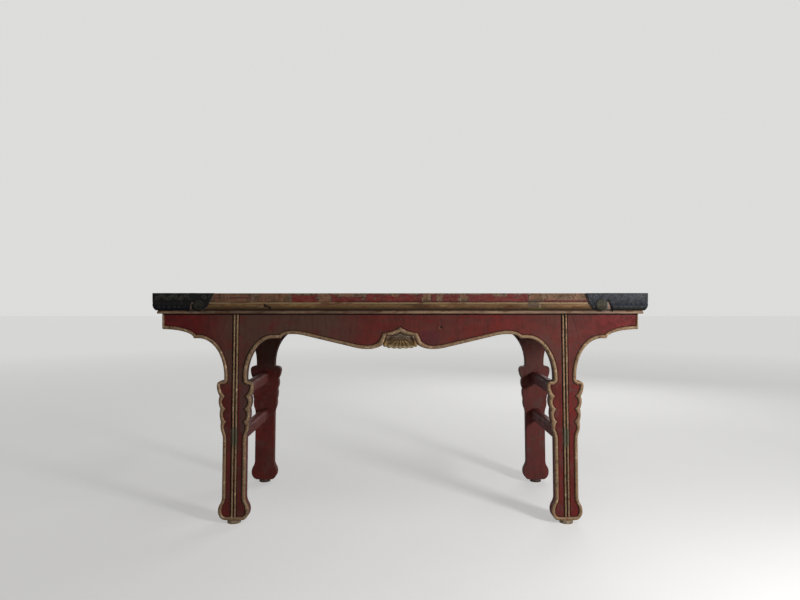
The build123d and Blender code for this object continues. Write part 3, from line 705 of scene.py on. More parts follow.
# %% Mouldings and top frame
def member(name, section_at, steps, layers, along_end=False):
    """A mitred member whose section may change on the way. section_at gives points as distance in from the
    face, height, and a value for each of two layers."""
    half = -face_y if along_end else corner_x
    lines, values = [], ([], [])
    for i in range(steps + 1):
        t = -1 + 2 * i / steps
        section = section_at(t * half)
        if along_end:
            lines.append([(corner_x - point[0], t * (half - point[0]), point[1]) for point in section])
        else:
            lines.append([(t * (half - point[0]), face_y + point[0], point[1]) for point in section])
        for k in (0, 1):
            values[k].append([point[2 + k] for point in section])
    return close_up(loft(name, lines, **dict(zip(layers, values))))


def moulding_section(place):
    """Quirk, ovolo and foot bead, with a little of the carver's unevenness."""
    waver = 0.25 * noise.noise(Vector((place / 90, 3.1, 0)))
    ovolo = arc_through((1.3 + waver, frame_z - 7.0), (1.7 + waver, frame_z - 19.0),
                        (9.0, frame_z - 30.0), 14)
    bead = arc_through((13.5, frame_z - 33.0), (11.2, frame_z - 37.0), (11.4, 785.5), 8)
    # The moulding's grime layer is painted shade: in the quirk under the frame, down the lower part of the
    # ovolo, full under it, and at the foot.
    shade = [0.25 if i == 0 else max(0.0, (i - 8) / 6) for i in range(14)]
    points = [(1.6, frame_z - 0.02, 0.0, 0.6), (1.6, frame_z - 0.8, 0.6, 0.4), (0.8, frame_z - 1.2, 1.0, 0.1)]
    points += [(0.7, frame_z - 5.6, 1.0, 0.0), (1.5, frame_z - 6.4, 0.9, 0.3)]
    points += [(q, z, 1.0, s) for (q, z), s in zip(ovolo, shade)]
    points += [(9.2, frame_z - 30.5, 0.8, 1.0), (13.6, frame_z - 31.2, 0.6, 1.0)]
    points += [(q, z, 1.0, 0.0) for q, z in bead] + [(11.6, 784.0, 1.0, 0.2)]
    return points + [(13.5, strip_z, 0.9, 0.6), (80.0, strip_z, 0.0, 0.6), (80.0, frame_z - 0.02, 0.0, 0.6)]


def frame_section(place):
    """The frame's face, worn arris and top."""
    slow, quick = (noise.noise(Vector(point)) for point in ((place / 60, 7.7, 0), (place / 17, 1.2, 0)))
    worn = 2.4 + 1.3 * slow + 0.9 * quick
    face = [(0.0, z) for z in (frame_z + 0.6, 829.0, 832.0, 836.0, 840.0, 844.0, 848.0, 852.0)]
    face += ellipse((worn, top_z - worn), (worn, worn), pi, pi / 2, 6)
    points = [(100.0, frame_z, 0.0, 0.5), (0.5, frame_z, 0.0, 0.9)]
    # At the face's foot, over the moulding's quirk, the grime layer paints a thin line of shadow, stronger to
    # the right.
    points += [(q, z, bareness(place, z), 0.55 if z < 829.5 and place > -190.0 else 0.2 if z < 827.0 else 0.0)
               for q, z in face]
    return points + [(worn, top_z, 0.6, 0.0), (worn + 4.0, top_z, 0.2, 0.0), (99.6, top_z, 0.0, 0.0),
                     (100.0, top_z - 0.5, 0.0, 0.6)]


members = {}
for kind, names, section_at, steps, layers in (
        ("moulding", ("gilded_moulding_front", "gilded_moulding_right"), moulding_section, 120,
         ("gilt", "grime")),
        ("frame", ("lacquered_rail_front", "lacquered_end_right"), frame_section, 240, ("bare", "grime"))):
    front = members[kind, "front"] = member(names[0], section_at, steps, layers)
    right = members[kind, "right"] = member(names[1], section_at, steps // 3, layers, along_end=True)
    members[kind, "back"] = mirrored(front, names[0].replace("front", "back"), False, True)
    members[kind, "left"] = mirrored(right, names[1].replace("right", "left"), True, False)
for side in ("front", "back", "left", "right"):
    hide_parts("moulding_" + side)
    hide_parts(f"top_{side}_{'rail' if side in ('front', 'back') else 'end'}")
print("members of the top:", len(members))

# %% [markdown]
# ## Corner mounts
# Each corner of the top is wrapped in thin sheet iron, beaten over the frame and down over the ovolo, with a
# pointed leaf on top. The sheet is the same loft, mitred at the corner. Its ornamental inner end, a slope, a
# round curl and a notch, is cut by keeping only what lies inside a second, flat-sided block: an intersecting
# boolean. The face on the end of the table is the first, reflected in the mitre.

# %% The mount's sheet
sheet, chased, curl_centre, curl_radius = 0.8, 1.45, (742.0, 813.5), 22.0
WRAP = [(-sheet, top_z + sheet - 0.5), (-sheet, frame_z)]
WRAP += arc_through((-0.1, 822.5), (0.5, 807.8), (8.2, 795.2), 12) + [(8.2, 795.2)]
WRAP_INSIDE = arc_through((9.2, 796.2), (1.9, 808.2), (1.1, 822.5), 12)
WRAP_INSIDE += [(1.1, 822.5), (0.3, frame_z), (0.3, 857.0)]
SLOPE = [(683.0, 861.0), (687.0, 857.0), (695.0, 838.0), (703.0, 821.0), (711.0, 808.0), (721.0, 799.5)]
CURL = ellipse(curl_centre, (curl_radius, curl_radius), -2.3, 0.55, 20)
NOTCH = [(759.0, 834.0), (762.5, 834.5), (768.5, 826.0), (773.0, 812.0), (777.0, 799.0), (784.0, 790.5)]
END_OUTLINE = SLOPE + CURL + NOTCH + [(930.0, 780.0), (930.0, 861.0)]
SHEET_STATIONS = (880.0, 840.0, 800.0, 760.0, 720.0, 670.0)


def keep_inside(piece, block):
    """Keeps what lies inside the block."""
    take_up(piece)
    bpy.ops.object.modifier_add(type="BOOLEAN")
    piece.modifiers[-1].operation = "INTERSECT"
    piece.modifiers[-1].object = block
    bpy.ops.object.modifier_apply(modifier=piece.modifiers[-1].name)
    bpy.data.objects.remove(block)
    return close_up(piece, merge=0.005)


wrap = [(-sheet + 0.5, top_z + sheet)] + WRAP + WRAP_INSIDE + [(1.5, top_z + 0.1), (1.5, top_z + sheet)]
mitred_end = [(corner_x - q, face_y + q, z) for q, z in wrap]
sections = [mitred_end] + [[(x, face_y + q, z) for q, z in wrap] for x in SHEET_STATIONS]
leaf = close_up(loft("mount_leaf", sections))
block = close_up(loft("mount_block", [[(x, y, z) for x, z in END_OUTLINE] for y in (-335.0, -300.0)]))
leaf = keep_inside(leaf, block)
print("mount leaf:", len(leaf.data.polygons), "faces")

# %% [markdown]
# The sheet is chased: scrolls stand up from it in thin ridges. A scroll is a spiral, so it is drawn as a
# curve whose points run round and in, thinner towards its eye, given a round section and made a mesh, sunk
# halfway into the sheet. The large curl at the end is the same with a thicker ridge. The sheet's inner edge
# is turned over into a thin roll. A value named crest says how much each ridge is rubbed bright; below zero
# the ridge is painted black, as shadow along the edge of the notch.

# %% Ridges and spirals
def sheet_y(z):
    """Y of the sheet's outer face at a height."""
    for (q0, z0), (q1, z1) in zip(WRAP, WRAP[1:]):
        if z1 <= z <= z0:
            return face_y + q0 + (q1 - q0) * (z0 - z) / (z0 - z1)
    return face_y + (WRAP[-1][0] if z < WRAP[-1][1] else -sheet)


def ridge(name, points, thick, crest=1.0, on_top=False):
    """A ridge through points, each (along, up, share of its full thickness), with a value for how rubbed it
    is, or below zero how black it is painted as shadow."""
    start_over()
    bpy.ops.curve.primitive_nurbs_path_add()
    path = bpy.context.object
    path.name = name
    path.data.splines.clear()
    line = path.data.splines.new("POLY")
    line.points.add(len(points) - 1)
    proud = chased - sheet - thick
    for point, (along, up, share) in zip(line.points, points):
        place = (along, up, top_z + sheet + proud) if on_top else (along, sheet_y(up) - proud, up)
        point.co = (*(Vector(place) * MM), 1.0)
        point.radius = share
    path.data.bevel_depth = thick * MM
    path.data.bevel_resolution = 1
    path.data.use_fill_caps = True
    bpy.ops.object.convert(target="MESH")
    made = close_up(bpy.context.object, merge=0.002)
    rubbed = made.data.attributes.new("crest", "FLOAT", "POINT")
    rubbed.data.foreach_set("value", [crest] * len(made.data.vertices))
    return made


def spiral(name, centre, start, turns, radius, thick, crest=1.0, on_top=False):
    """A ridge that runs round and in, thinner towards its eye."""
    steps = int(abs(turns) * 20) + 6
    points = []
    for i in range(steps + 1):
        share = i / steps
        turn, reach = start + 2 * pi * turns * share, radius * (1 - 0.86 * share)
        points.append((centre[0] + reach * cos(turn), centre[1] + reach * sin(turn), 1.0 - 0.45 * share))
    return ridge(name, points, thick, crest, on_top)


print("the sheet's face under the frame is at y =", sheet_y(curl_centre[1]))

# %% Chasing
scroll_z, scroll_pitch, wave_z, wave_pitch = 842.0, 21.5, 806.0, 19.0
ridges = [spiral("curl", curl_centre, pi * 0.8, -1.6, curl_radius - 5.0, 1.0, crest=0.25)]
for i in range(6):
    up = 1 if i % 2 else -1
    scroll = (893.0 - scroll_pitch * i, scroll_z + 3.0 * up)
    tendril = (882.5 - scroll_pitch * i, scroll_z - 6.5 * up)
    ridges.append(spiral(f"scroll_{i}", scroll, pi / 2 * (1 - up), up * 1.5, 9.5, 0.7))
    ridges.append(spiral(f"tendril_{i}", tendril, pi / 2 * (1 + up), -up * 0.9, 5.5, 0.55))
    ridges.append(spiral(f"wave_{i}", (890.0 - wave_pitch * i, wave_z), pi, -1.2, 5.2, 0.45, crest=0.6))
ridges.append(spiral("scroll_end", (721.0, 843.0), 0.0, 1.4, 9.0, 0.7))
ridges.append(spiral("tendril_end", (702.0, 845.0), pi, -1.0, 6.0, 0.55))
edge = [(x + 1.2, z + 0.6, 1.0) for x, z in SLOPE[2:]]
edge += [(curl_centre[0] + (x - curl_centre[0]) * 0.93, curl_centre[1] + (z - curl_centre[1]) * 0.93, 1.0)
         for x, z in CURL]
ridges.append(ridge("edge_outside", edge, 1.3, crest=0.9))
# The ridge along the notch is painted black: shadow of the sheet's edge.
ridges.append(ridge("edge_of_notch", [(x + 1.5, z, 1.0) for x, z in NOTCH[2:]], 1.5, crest=-1.0))
leaf = joined("mount_leaf", [leaf] + ridges)


def reflected(piece, name):
    """A copy of a front leaf, reflected in the mitre onto the end of the table."""
    copy = copy_of(piece, name)
    for vertex in copy.data.vertices:
        x, y, z = vertex.co / MM
        vertex.co = Vector((corner_x - (y - face_y), face_y - (x - corner_x), z)) * MM
    return close_up(copy, merge=0.001)


side_leaf = reflected(leaf, "side_leaf")
print("ridges:", len(ridges), "on each of the two faces")

# %% The leaf on top, and the four mounts
top_tip, top_hollow, top_front = (861.0, -158.5), (795.0, -202.5), (751.0, -268.5)
top_line = [(corner_x + sheet, face_y - sheet), (corner_x + sheet, -83.5), top_tip]
top_line += arc_through(top_tip, top_hollow, top_front, 14)[1:] + [top_front, (683.0, face_y - sheet)]
top_levels = (top_z - 0.1, top_z + sheet)
top_leaf = close_up(loft("mount_top", [[(x, y, z) for x, y in top_line] for z in top_levels]))
take_up(top_leaf)
bpy.ops.object.modifier_add(type="BEVEL")
top_leaf.modifiers[-1].width = 0.3 * MM
top_leaf.modifiers[-1].segments = 2
bpy.ops.object.modifier_apply(modifier=top_leaf.modifiers[-1].name)
EYES = [((868.0, -276.0), 20.0), ((815.0, -282.0), 15.0), ((874.0, -223.0), 15.0), ((770.0, -298.0), 11.0),
        ((890.0, -178.0), 11.0), ((822.0, -238.0), 12.0)]
top_ridges = [spiral(f"top_scroll_{i}", eye, i * 1.1, 1.8 if i % 2 else -1.8, reach, 0.7, on_top=True)
              for i, (eye, reach) in enumerate(EYES)]
mount = joined("iron_mount_front_right", [leaf, side_leaf, top_leaf] + top_ridges)
mounts = at_all_corners(mount, "iron_mount_")
for corner, piece in mounts.items():
    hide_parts("corner_mount_" + corner)
print("mounts:", len(mounts), "faces each:", len(mounts["front_right"].data.polygons))

# %% [markdown]
# ## Side stretchers and pads
# Two rails join the front and back leg at each end of the table. Each was planed from a square stick until
# its corners were round: a cube stretched to size, its four long edges bevelled in several steps. The pads
# under the feet are short turned discs with rounded edges.

# %% Stretchers
STRETCHER_LEVELS = {"lower": 313.0, "upper": 480.0}


def rounded(piece, edges, rounding, segments):
    """Puts a primitive's size and place in its mesh and rounds those of its edges that pass a test."""
    bpy.ops.object.transform_apply(location=True, rotation=True, scale=True)
    bpy.ops.object.mode_set(mode="EDIT")
    bpy.ops.mesh.select_mode(type="EDGE")
    pick(piece, "edges", edges)
    bpy.ops.mesh.bevel(offset=rounding * MM, segments=segments, affect="EDGES")
    bpy.ops.object.mode_set(mode="OBJECT")
    return close_up(piece)


stretchers = []
for level, z in STRETCHER_LEVELS.items():
    start_over()
    bpy.ops.mesh.primitive_cube_add(size=1, location=(axis_x(z) * MM, 0, z * MM),
                                    scale=(40.0 * MM, -2 * leg_back * MM, 50.0 * MM))
    stick = bpy.context.object
    stick.name = stick.data.name = "lacquered_stretcher_right_" + level
    rounded(stick, lambda edge: abs(edge.verts[0].co.y - edge.verts[1].co.y) > 0.1 * MM, 13.0, 7)
    stretchers += [stick, mirrored(stick, "lacquered_stretcher_left_" + level, True, False)]
    for stick, side in zip(stretchers[-2:], ("right_", "left_")):
        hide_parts("stretcher_" + side + level)
print("stretchers:", len(stretchers))

# %% Pads
start_over()
bpy.ops.mesh.primitive_cylinder_add(vertices=48, radius=25.0 * MM, depth=pad_height * MM, location=(
    axis_x(pad_height / 2) * MM, (front_face + leg_back) / 2 * MM, pad_height / 2 * MM))
pad = bpy.context.object
pad.name = pad.data.name = "turned_pad_front_right"
rounded(pad, lambda edge: abs(edge.verts[0].co.z - edge.verts[1].co.z) < 0.001 * MM, 2.2, 4)
pads = at_all_corners(pad, "turned_pad_")
for corner, piece in pads.items():
    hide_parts("pad_" + corner)
print("pads:", len(pads))

# %% [markdown]
# ## Colours and nodes
# Every finish is a small network of nodes. Colours are written as the hex values a painter's chart would give
# and turned to linear light by one function. A second sets or links one input, and a third adds a node with
# its settings.

# %% Colours and nodes
def colour(code):
    """A hex colour as linear light."""
    parts = [int(code[i:i + 2], 16) / 255 for i in (1, 3, 5)]
    linear = [part / 12.92 if part <= 0.04045 else ((part + 0.055) / 1.055) ** 2.4 for part in parts]
    return (*linear, 1.0)


def feed(tree, socket, value):
    """Links an input to another node's output, or sets it to a value or a hex colour."""
    if isinstance(value, bpy.types.NodeSocket):
        tree.links.new(value, socket)
    else:
        socket.default_value = colour(value) if isinstance(value, str) else value


def add(tree, kind, inputs=(), out=None, stops=(), **settings):
    """Adds a node with its settings, feeds its inputs by name or order, and gives back one output. The stops
    of a ramp are hex colours or shades of grey."""
    made = tree.nodes.new("ShaderNode" + kind)
    for setting, value in settings.items():
        setattr(made, setting, value)
    live = [socket for socket in made.inputs if socket.enabled]
    for key, value in inputs.items() if isinstance(inputs, dict) else enumerate(inputs):
        feed(tree, live[key] if isinstance(key, int) else next(s for s in live if s.name == key), value)
    for i, (place, value) in enumerate(stops):
        stop = made.color_ramp.elements[i] if i < 2 else made.color_ramp.elements.new(place)
        stop.position = place
        stop.color = colour(value) if isinstance(value, str) else (value, value, value, 1.0)
    return made.outputs[out] if out else next(s for s in made.outputs if s.enabled)


print("cinnabar in linear light:", [round(part, 3) for part in colour("#7F2725")[:3]])

# %% [markdown]
# ## Coats, masks and patches
# A finish grows as it does in the workshop, coat over coat, and each coat lies only where its mask is high.
# Wear, dirt and fading come in patches, so one function makes patches of a real size in millimetres, and one
# a single ragged patch at one place, for an old repair or a knock. Masks are made one, or kept only where
# they overlap or where a place lies within limits.

# %% Coats, masks and patches
def coats(tree, base, *layers):
    """Lays coats over a base in turn. Each is a mask, a colour and, if it stays thin, its greatest share."""
    for mask, paint, *most in layers:
        if most:
            mask = add(tree, "Math", [mask, most[0]], operation="MULTIPLY")
        base = add(tree, "Mix", {"Factor": mask, "A": base, "B": paint}, data_type="RGBA")
    return base


def merged(tree, masks, operation="MAXIMUM"):
    """Three or more masks made one, or with MULTIPLY only what they have in common."""
    whole = masks[0]
    for mask in masks[1:]:
        whole = add(tree, "Math", [whole, mask], operation=operation)
    return whole


def within(tree, *limits):
    """A mask for where each value has passed from its start to its stop."""
    passed = [add(tree, "MapRange", {"Value": value, "From Min": start, "From Max": stop})
              for value, start, stop in limits]
    return merged(tree, passed, "MULTIPLY")


def patches(tree, spot, size, low, high, stretch=(1, 1, 1)):
    """Patches about size millimetres across, as a mask that rises where the noise goes from low to high."""
    placed = add(tree, "Mapping", {"Vector": spot, "Scale": stretch})
    grain = add(tree, "TexNoise", {"Vector": placed, "Scale": 1000 / size, "Detail": 5.0, "Roughness": 0.6})
    return add(tree, "MapRange", {"Value": grain, "From Min": low, "From Max": high},
               interpolation_type="SMOOTHSTEP")


def around(tree, spot, centre, reach):
    """A ragged patch round one place on the front of the table, both given as (x, z) in millimetres."""
    away = add(tree, "VectorMath", [spot, (centre[0] * MM, -0.3, centre[1] * MM)], operation="SUBTRACT")
    share = add(tree, "VectorMath", [away, (reach[0] * MM, 0.08, reach[1] * MM)], operation="DIVIDE")
    squared = add(tree, "VectorMath", [share, share], operation="MULTIPLY")
    distance = add(tree, "VectorMath", [squared], out="Value", operation="LENGTH")
    frayed = add(tree, "TexNoise", {"Vector": spot, "Scale": 1000 / 6, "Detail": 3.0})
    uneven = add(tree, "Math", [frayed, 1.6, distance], operation="MULTIPLY_ADD")
    return add(tree, "MapRange", {"Value": uneven, "From Min": 1.9, "From Max": 1.65})


def old_repair(tree, spot):
    """The filled patch at the right of the frame and the moulding, scuffed since."""
    scuffs = add(tree, "MapRange", {"Value": patches(tree, spot, 6, 0.35, 0.65), "To Min": 0.35})
    filled = around(tree, spot, (490.0, 821.0), (21.0, 15.0))
    return add(tree, "Math", [filled, scuffs], operation="MULTIPLY")


def new_finish(name):
    """A new finish, its nodes, and the place on its surface, in metres from the floor's middle."""
    made = bpy.data.materials.new(name)
    made.use_nodes = True
    return made, made.node_tree, add(made.node_tree, "TexCoord", out="Object")


def complete(tree, height, depth, **sockets):
    """Feeds the layers of a finish to its shader. Height is a mask, depth its relief in millimetres."""
    shader = tree.nodes["Principled BSDF"]
    sockets["Normal"] = add(tree, "Bump", {"Height": height, "Distance": depth * MM, "Strength": 1.0})
    for name, value in sockets.items():
        feed(tree, shader.inputs[name.replace("_", " ")], value)


FILLER = "#564A42"
print("filler of old repairs in linear light:", [round(part, 3) for part in colour(FILLER)[:3]])

# %% [markdown]
# ## Worn cinnabar lacquer
# The red is cinnabar lacquer: tree sap coloured with mercury sulphide, brushed on in many thin coats over a
# clay ground and rubbed smooth. After a few centuries it has darkened to a brownish red. A grey-brown veil of
# old dust and wax lies over the left of the apron and round the shoulders, fine vertical streaks run through
# it, and a few chips show the ground. The beads are gilded: leaf over a red bole that shows where the leaf is
# rubbed away. Everything is layered from the lowest coat upwards, as the workshop did.

# %% Worn cinnabar lacquer: the red and its veil
# Old lacquer is satin, neither shiny nor chalky: IOR 1.5, roughness near 0.5. Dust takes most of its gloss.
cinnabar, tree, spot = new_finish("worn_cinnabar_lacquer")
x, y, z = (add(tree, "SeparateXYZ", [spot], out=axis) for axis in "XYZ")
clouds = patches(tree, spot, 150, 0.38, 0.62)
mottle = patches(tree, spot, 22, 0.40, 0.70)
streaks = patches(tree, spot, 8, 0.46, 0.72, stretch=(1, 1, 0.11))
on_legs = add(tree, "MapRange", {"Value": z, "From Min": 0.74, "From Max": 0.66,
                                 "To Min": 0.2, "To Max": 0.6})
behind = within(tree, (y, 0.1, 0.2), (x, 0.0, 0.3))
filmed = add(tree, "Math", [behind, 0.45, on_legs], operation="MULTIPLY_ADD")
film = add(tree, "Math", [patches(tree, spot, 48, 0.48, 0.66), filmed], operation="MULTIPLY")
film_behind = add(tree, "Math", [behind, 0.5], operation="MULTIPLY")
film = add(tree, "Math", [film, film_behind], operation="MAXIMUM")
along = add(tree, "MapRange", {"Value": x, "From Min": -0.9, "From Max": 0.9})
thick = add(tree, "ValToRGB", {"Fac": along}, stops=[
    (0.0, 0.0), (0.08, 0.1), (0.15, 0.95), (0.36, 1.0), (0.43, 0.35), (0.5, 0.35), (0.58, 0.5), (0.7, 0.2),
    (0.84, 0.55), (0.92, 0.1), (1.0, 0.0)])
above = add(tree, "MapRange", {"Value": z, "From Min": 0.51, "From Max": 0.53, "To Min": 0.35, "To Max": 1.0})
veil = merged(tree, [thick, above, patches(tree, spot, 70, 0.18, 0.52)], "MULTIPLY")
veiled = coats(tree, "#7F2725", (clouds, "#682021"), (mottle, "#4F2221", 0.55), (film, "#66433F"),
               (veil, "#5F443A"), (streaks, "#3E241C", 0.32))
print("veiled red:", len(tree.nodes), "nodes")

# %% Worn cinnabar lacquer: chips, knocks, grime and painted shade
# The dark line at the top of the apron, under the moulding, is painted shadow. The right leg's shoulder shows
# its seam.
DIRT_AND_SHADE_TONE = "#1D120E"
seam_slope, seam_x = 0.2906, 0.8675
gilt, grime, lee = (add(tree, "Attribute", out="Fac", attribute_name=layer)
                    for layer in ("gilt", "grime", "lee"))
# Grime in the grooves is weighted by lee: more painted shadow on the left of each bead, away from the light
# on the right, less on its right.
shadow_side = add(tree, "MapRange", {"Value": lee, "From Min": -1.0, "To Min": 0.2, "To Max": 1.8})
groove_dirt_and_shadow = add(tree, "Math", [grime, shadow_side], operation="MULTIPLY", use_clamp=True)
chips = add(tree, "Math", [patches(tree, spot, 9, 0.66, 0.69), patches(tree, spot, 90, 0.54, 0.60)],
            operation="MULTIPLY")
knock = around(tree, spot, (148.0, 730.0), (3.5, 5.0))
knocks = add(tree, "Math", [chips, knock], operation="MAXIMUM")
mauve = around(tree, spot, (-572.0, 425.0), (26.0, 100.0))
plum = around(tree, spot, (111.0, 690.0), (34.0, 30.0))
faded = coats(tree, veiled, (knocks, "#6C5644"), (mauve, "#5F4A46", 0.6), (plum, "#5C2A38", 0.4))
beside_seam = add(tree, "Math", [x, -seam_x], operation="ADD")
beside_seam = add(tree, "Math", [z, seam_slope, beside_seam], operation="MULTIPLY_ADD")
beside_seam = add(tree, "Math", [beside_seam], operation="ABSOLUTE")
seam = add(tree, "MapRange", {"Value": beside_seam, "From Min": 0.0012, "From Max": 0.0004, "To Max": 0.55})
on_shoulder = add(tree, "MapRange", {"Value": z, "From Min": 0.680, "From Max": 0.690})
# A thin band of painted shadow at the top of the apron, under the moulding.
painted_shadow_under_strip = add(tree, "MapRange", {"Value": z, "From Min": 0.7775, "From Max": 0.7795})
upper_seam = add(tree, "Math", [seam, on_shoulder], operation="MULTIPLY")
dent = around(tree, spot, (153.0, 732.0), (4.5, 4.0))
dark = merged(tree, [groove_dirt_and_shadow, painted_shadow_under_strip, dent, upper_seam])
dirt_and_shade = add(tree, "Math", [dark, 0.85], operation="MULTIPLY")
print("with knocks and grime:", len(tree.nodes), "nodes")

# %% Worn cinnabar lacquer: gilding
rubbed = patches(tree, spot, 8, 0.52, 0.66)
kept = add(tree, "Math", [rubbed, -0.65, 1.0], operation="MULTIPLY_ADD")
clean = add(tree, "Math", [1.0, dirt_and_shade], operation="SUBTRACT")
gold = merged(tree, [gilt, kept, clean], "MULTIPLY")
leaf_tone = add(tree, "ValToRGB", {"Fac": patches(tree, spot, 17, 0.28, 0.72)}, stops=[
    (0.0, "#6A5440"), (0.4, "#A0876A"), (0.7, "#8E6E52"), (1.0, "#C6B090")])
putty = add(tree, "Math", [around(tree, spot, (618.5, 322.0), (12.0, 34.0)),
                           around(tree, spot, (-618.5, 325.0), (13.0, 36.0))], operation="MAXIMUM")
gilded = coats(tree, faded, (dirt_and_shade, DIRT_AND_SHADE_TONE), (gilt, "#743E2C"), (dirt_and_shade, DIRT_AND_SHADE_TONE), (gold, leaf_tone),
               (putty, "#686250"))
rough = add(tree, "MapRange", {"Value": mottle, "To Min": 0.42, "To Max": 0.62})
metal = add(tree, "Math", [gold, 0.15], operation="MULTIPLY")
cracks = add(tree, "TexVoronoi", {"Vector": spot, "Scale": 1000 / 16}, feature="DISTANCE_TO_EDGE")
crackle = add(tree, "MapRange", {"Value": cracks, "From Min": 0.0, "From Max": 0.05})
brushed = add(tree, "Math", [streaks, -0.4, crackle], operation="MULTIPLY_ADD")
relief = add(tree, "Math", [kept, 0.8, brushed], operation="MULTIPLY_ADD")
complete(tree, relief, 0.12, Base_Color=gilded, Roughness=rough, Metallic=metal, Specular_IOR_Level=0.1)
print("cinnabar lacquer:", len(tree.nodes), "nodes")

# %% [markdown]
# ## Flaked lacquer on clay ground
# The top frame had the hardest use. Its lacquer has flaked off in pieces with sharp edges, and under it lies
# the pale ground of clay and hemp. The bare value, broken up by a fine noise, is cut at several thresholds,
# so the flakes get crisp outlines: the lacquer is worn thin before the edge, a thin dark line runs along it,
# the shadow of the coat's thickness, and the ground is palest just inside it.

# %% Flaked lacquer
# The ground is chalky (roughness 0.8), the lacquer beside it still satin (0.55).
flaked, tree, spot = new_finish("flaked_lacquer_on_clay")
x, y, z = (add(tree, "SeparateXYZ", [spot], out=axis) for axis in "XYZ")
bare, grime = (add(tree, "Attribute", out="Fac", attribute_name=layer) for layer in ("bare", "grime"))
ragged = add(tree, "TexNoise", {"Vector": spot, "Scale": 1000 / 11, "Detail": 6.0, "Roughness": 0.65})
less = add(tree, "Math", [bare, 0.5], operation="SUBTRACT")
level = add(tree, "Math", [ragged, 1.9, less], operation="MULTIPLY_ADD")
thin, rim_line, lost, pale_edge = (
    add(tree, "MapRange", {"Value": level, "From Min": start, "From Max": stop, "To Max": most})
    for start, stop, most in ((0.45, 0.8, 0.6), (0.77, 0.90, 1.0), (0.92, 0.99, 1.0), (1.25, 1.0, 0.7)))
clouds = patches(tree, spot, 60, 0.35, 0.65)
streaks = patches(tree, spot, 6, 0.45, 0.70, stretch=(0.12, 1, 1))
hatched = patches(tree, spot, 7, 0.50, 0.66, stretch=(1, 1, 0.12))
red = coats(tree, "#7A2923", (clouds, "#62231F"), (thin, "#85524A"), (streaks, "#4A2420", 0.6),
            (rim_line, "#1F130F"))
clay = add(tree, "ValToRGB", {"Fac": patches(tree, spot, 24, 0.3, 0.7, stretch=(0.5, 1, 1))}, stops=[
    (0.0, "#564030"), (0.4, "#725741"), (0.75, "#825640"), (1.0, "#846A52")])
ground = coats(tree, clay, (hatched, "#553B2C"), (pale_edge, "#987E68"))
print("red and ground:", len(tree.nodes), "nodes")

# %% Flaked lacquer: repair, painted shadow and dirt
# Black along the slanted end of the right mount, and in the notch of each mount, is painted shadow of the
# iron's edge.
wavy_x = add(tree, "Math", [ragged, 0.006, x], operation="MULTIPLY_ADD")
slant = add(tree, "Math", [z, 0.439, wavy_x], operation="MULTIPLY_ADD")
shadow_by_sheet = within(tree, (slant, 1.0562, 1.0572), (slant, 1.072, 1.07), (y, -0.305, -0.312))
notches = [around(tree, spot, (side * 766.0, 831.0), (10.0, 9.0)) for side in (1, -1)]
dirt_and_shade = merged(tree, [add(tree, "Math", [grime, 0.8], operation="MULTIPLY"), shadow_by_sheet, *notches])
shown = coats(tree, red, (lost, ground), (old_repair(tree, spot), FILLER), (dirt_and_shade, "#110B09"))
rough = add(tree, "MapRange", {"Value": lost, "To Min": 0.55, "To Max": 0.8})
sunk = add(tree, "Math", [ragged, 0.3, lost], operation="MULTIPLY_ADD")
relief = add(tree, "Math", [1.0, sunk], operation="SUBTRACT")
complete(tree, relief, 0.35, Base_Color=shown, Roughness=rough, Specular_IOR_Level=0.2)
print("flaked lacquer:", len(tree.nodes), "nodes")

# %% [markdown]
# ## Gilding on the mouldings and the leaf
# The moulded strip was gilded over red bole with thin leaf. On its proud parts the leaf is worn to a warm
# brown. A pale line along the top of the ovolo is painted highlight, and lower down the strip is painted
# nearly black as shade. Long streaks run along the strip, because cloths were wiped along it. The carved
# leaf is paler at its foot, where it was touched, and dark in its hollow band with grime and painted shade.

# %% Smoked gilding
# Real leaf is metallic, but smoke and wax cover it: metallic 0.15 and roughness near 0.6.
smoked, tree, spot = new_finish("smoked_gilding")
x, z = (add(tree, "SeparateXYZ", [spot], out=axis) for axis in "XZ")
strip_tone = add(tree, "ValToRGB", {"Fac": patches(tree, spot, 35, 0.3, 0.7, stretch=(0.25, 1, 1))}, stops=[
    (0.0, "#4F3A24"), (0.4, "#765C3D"), (0.7, "#6E4E34"), (1.0, "#94784F")])
foot_tone = add(tree, "ValToRGB", {"Fac": patches(tree, spot, 40, 0.3, 0.7, stretch=(0.3, 1, 1))}, stops=[
    (0.0, "#705A4A"), (0.5, "#917560"), (1.0, "#AA8E70")])
up_leaf = add(tree, "MapRange", {"Value": z, "From Min": 0.65, "From Max": 0.72})
leaf_tone = add(tree, "ValToRGB", {"Fac": up_leaf}, stops=[
    (0.0, "#988464"), (0.1, "#B09C78"), (0.27, "#987C50"), (0.42, "#866A42"), (0.48, "#57432A"),
    (0.56, "#6C5842"), (0.75, "#827260"), (1.0, "#7C6E5E")])
# The first mask paints a highlight along the top of the ovolo, the second paints shade on its lower part.
top_line, painted_shade_low_ovolo, on_foot, on_leaf = (
    add(tree, "MapRange", {"Value": z, "From Min": start, "From Max": stop, "To Max": most})
    for start, stop, most in ((0.8185, 0.8205, 0.75), (0.813, 0.801, 0.55), (0.7958, 0.7952, 1.0),
                              (0.75, 0.74, 1.0)))
rubbed = patches(tree, spot, 12, 0.52, 0.66, stretch=(0.2, 1, 1))
specks = patches(tree, spot, 5, 0.64, 0.68)
worn = coats(tree, strip_tone, (top_line, "#A68C69"), (painted_shade_low_ovolo, "#33210F"), (on_foot, foot_tone),
             (on_leaf, leaf_tone), (rubbed, "#5E3824", 0.8), (specks, "#3A2A20"))
print("worn gilding:", len(tree.nodes), "nodes")

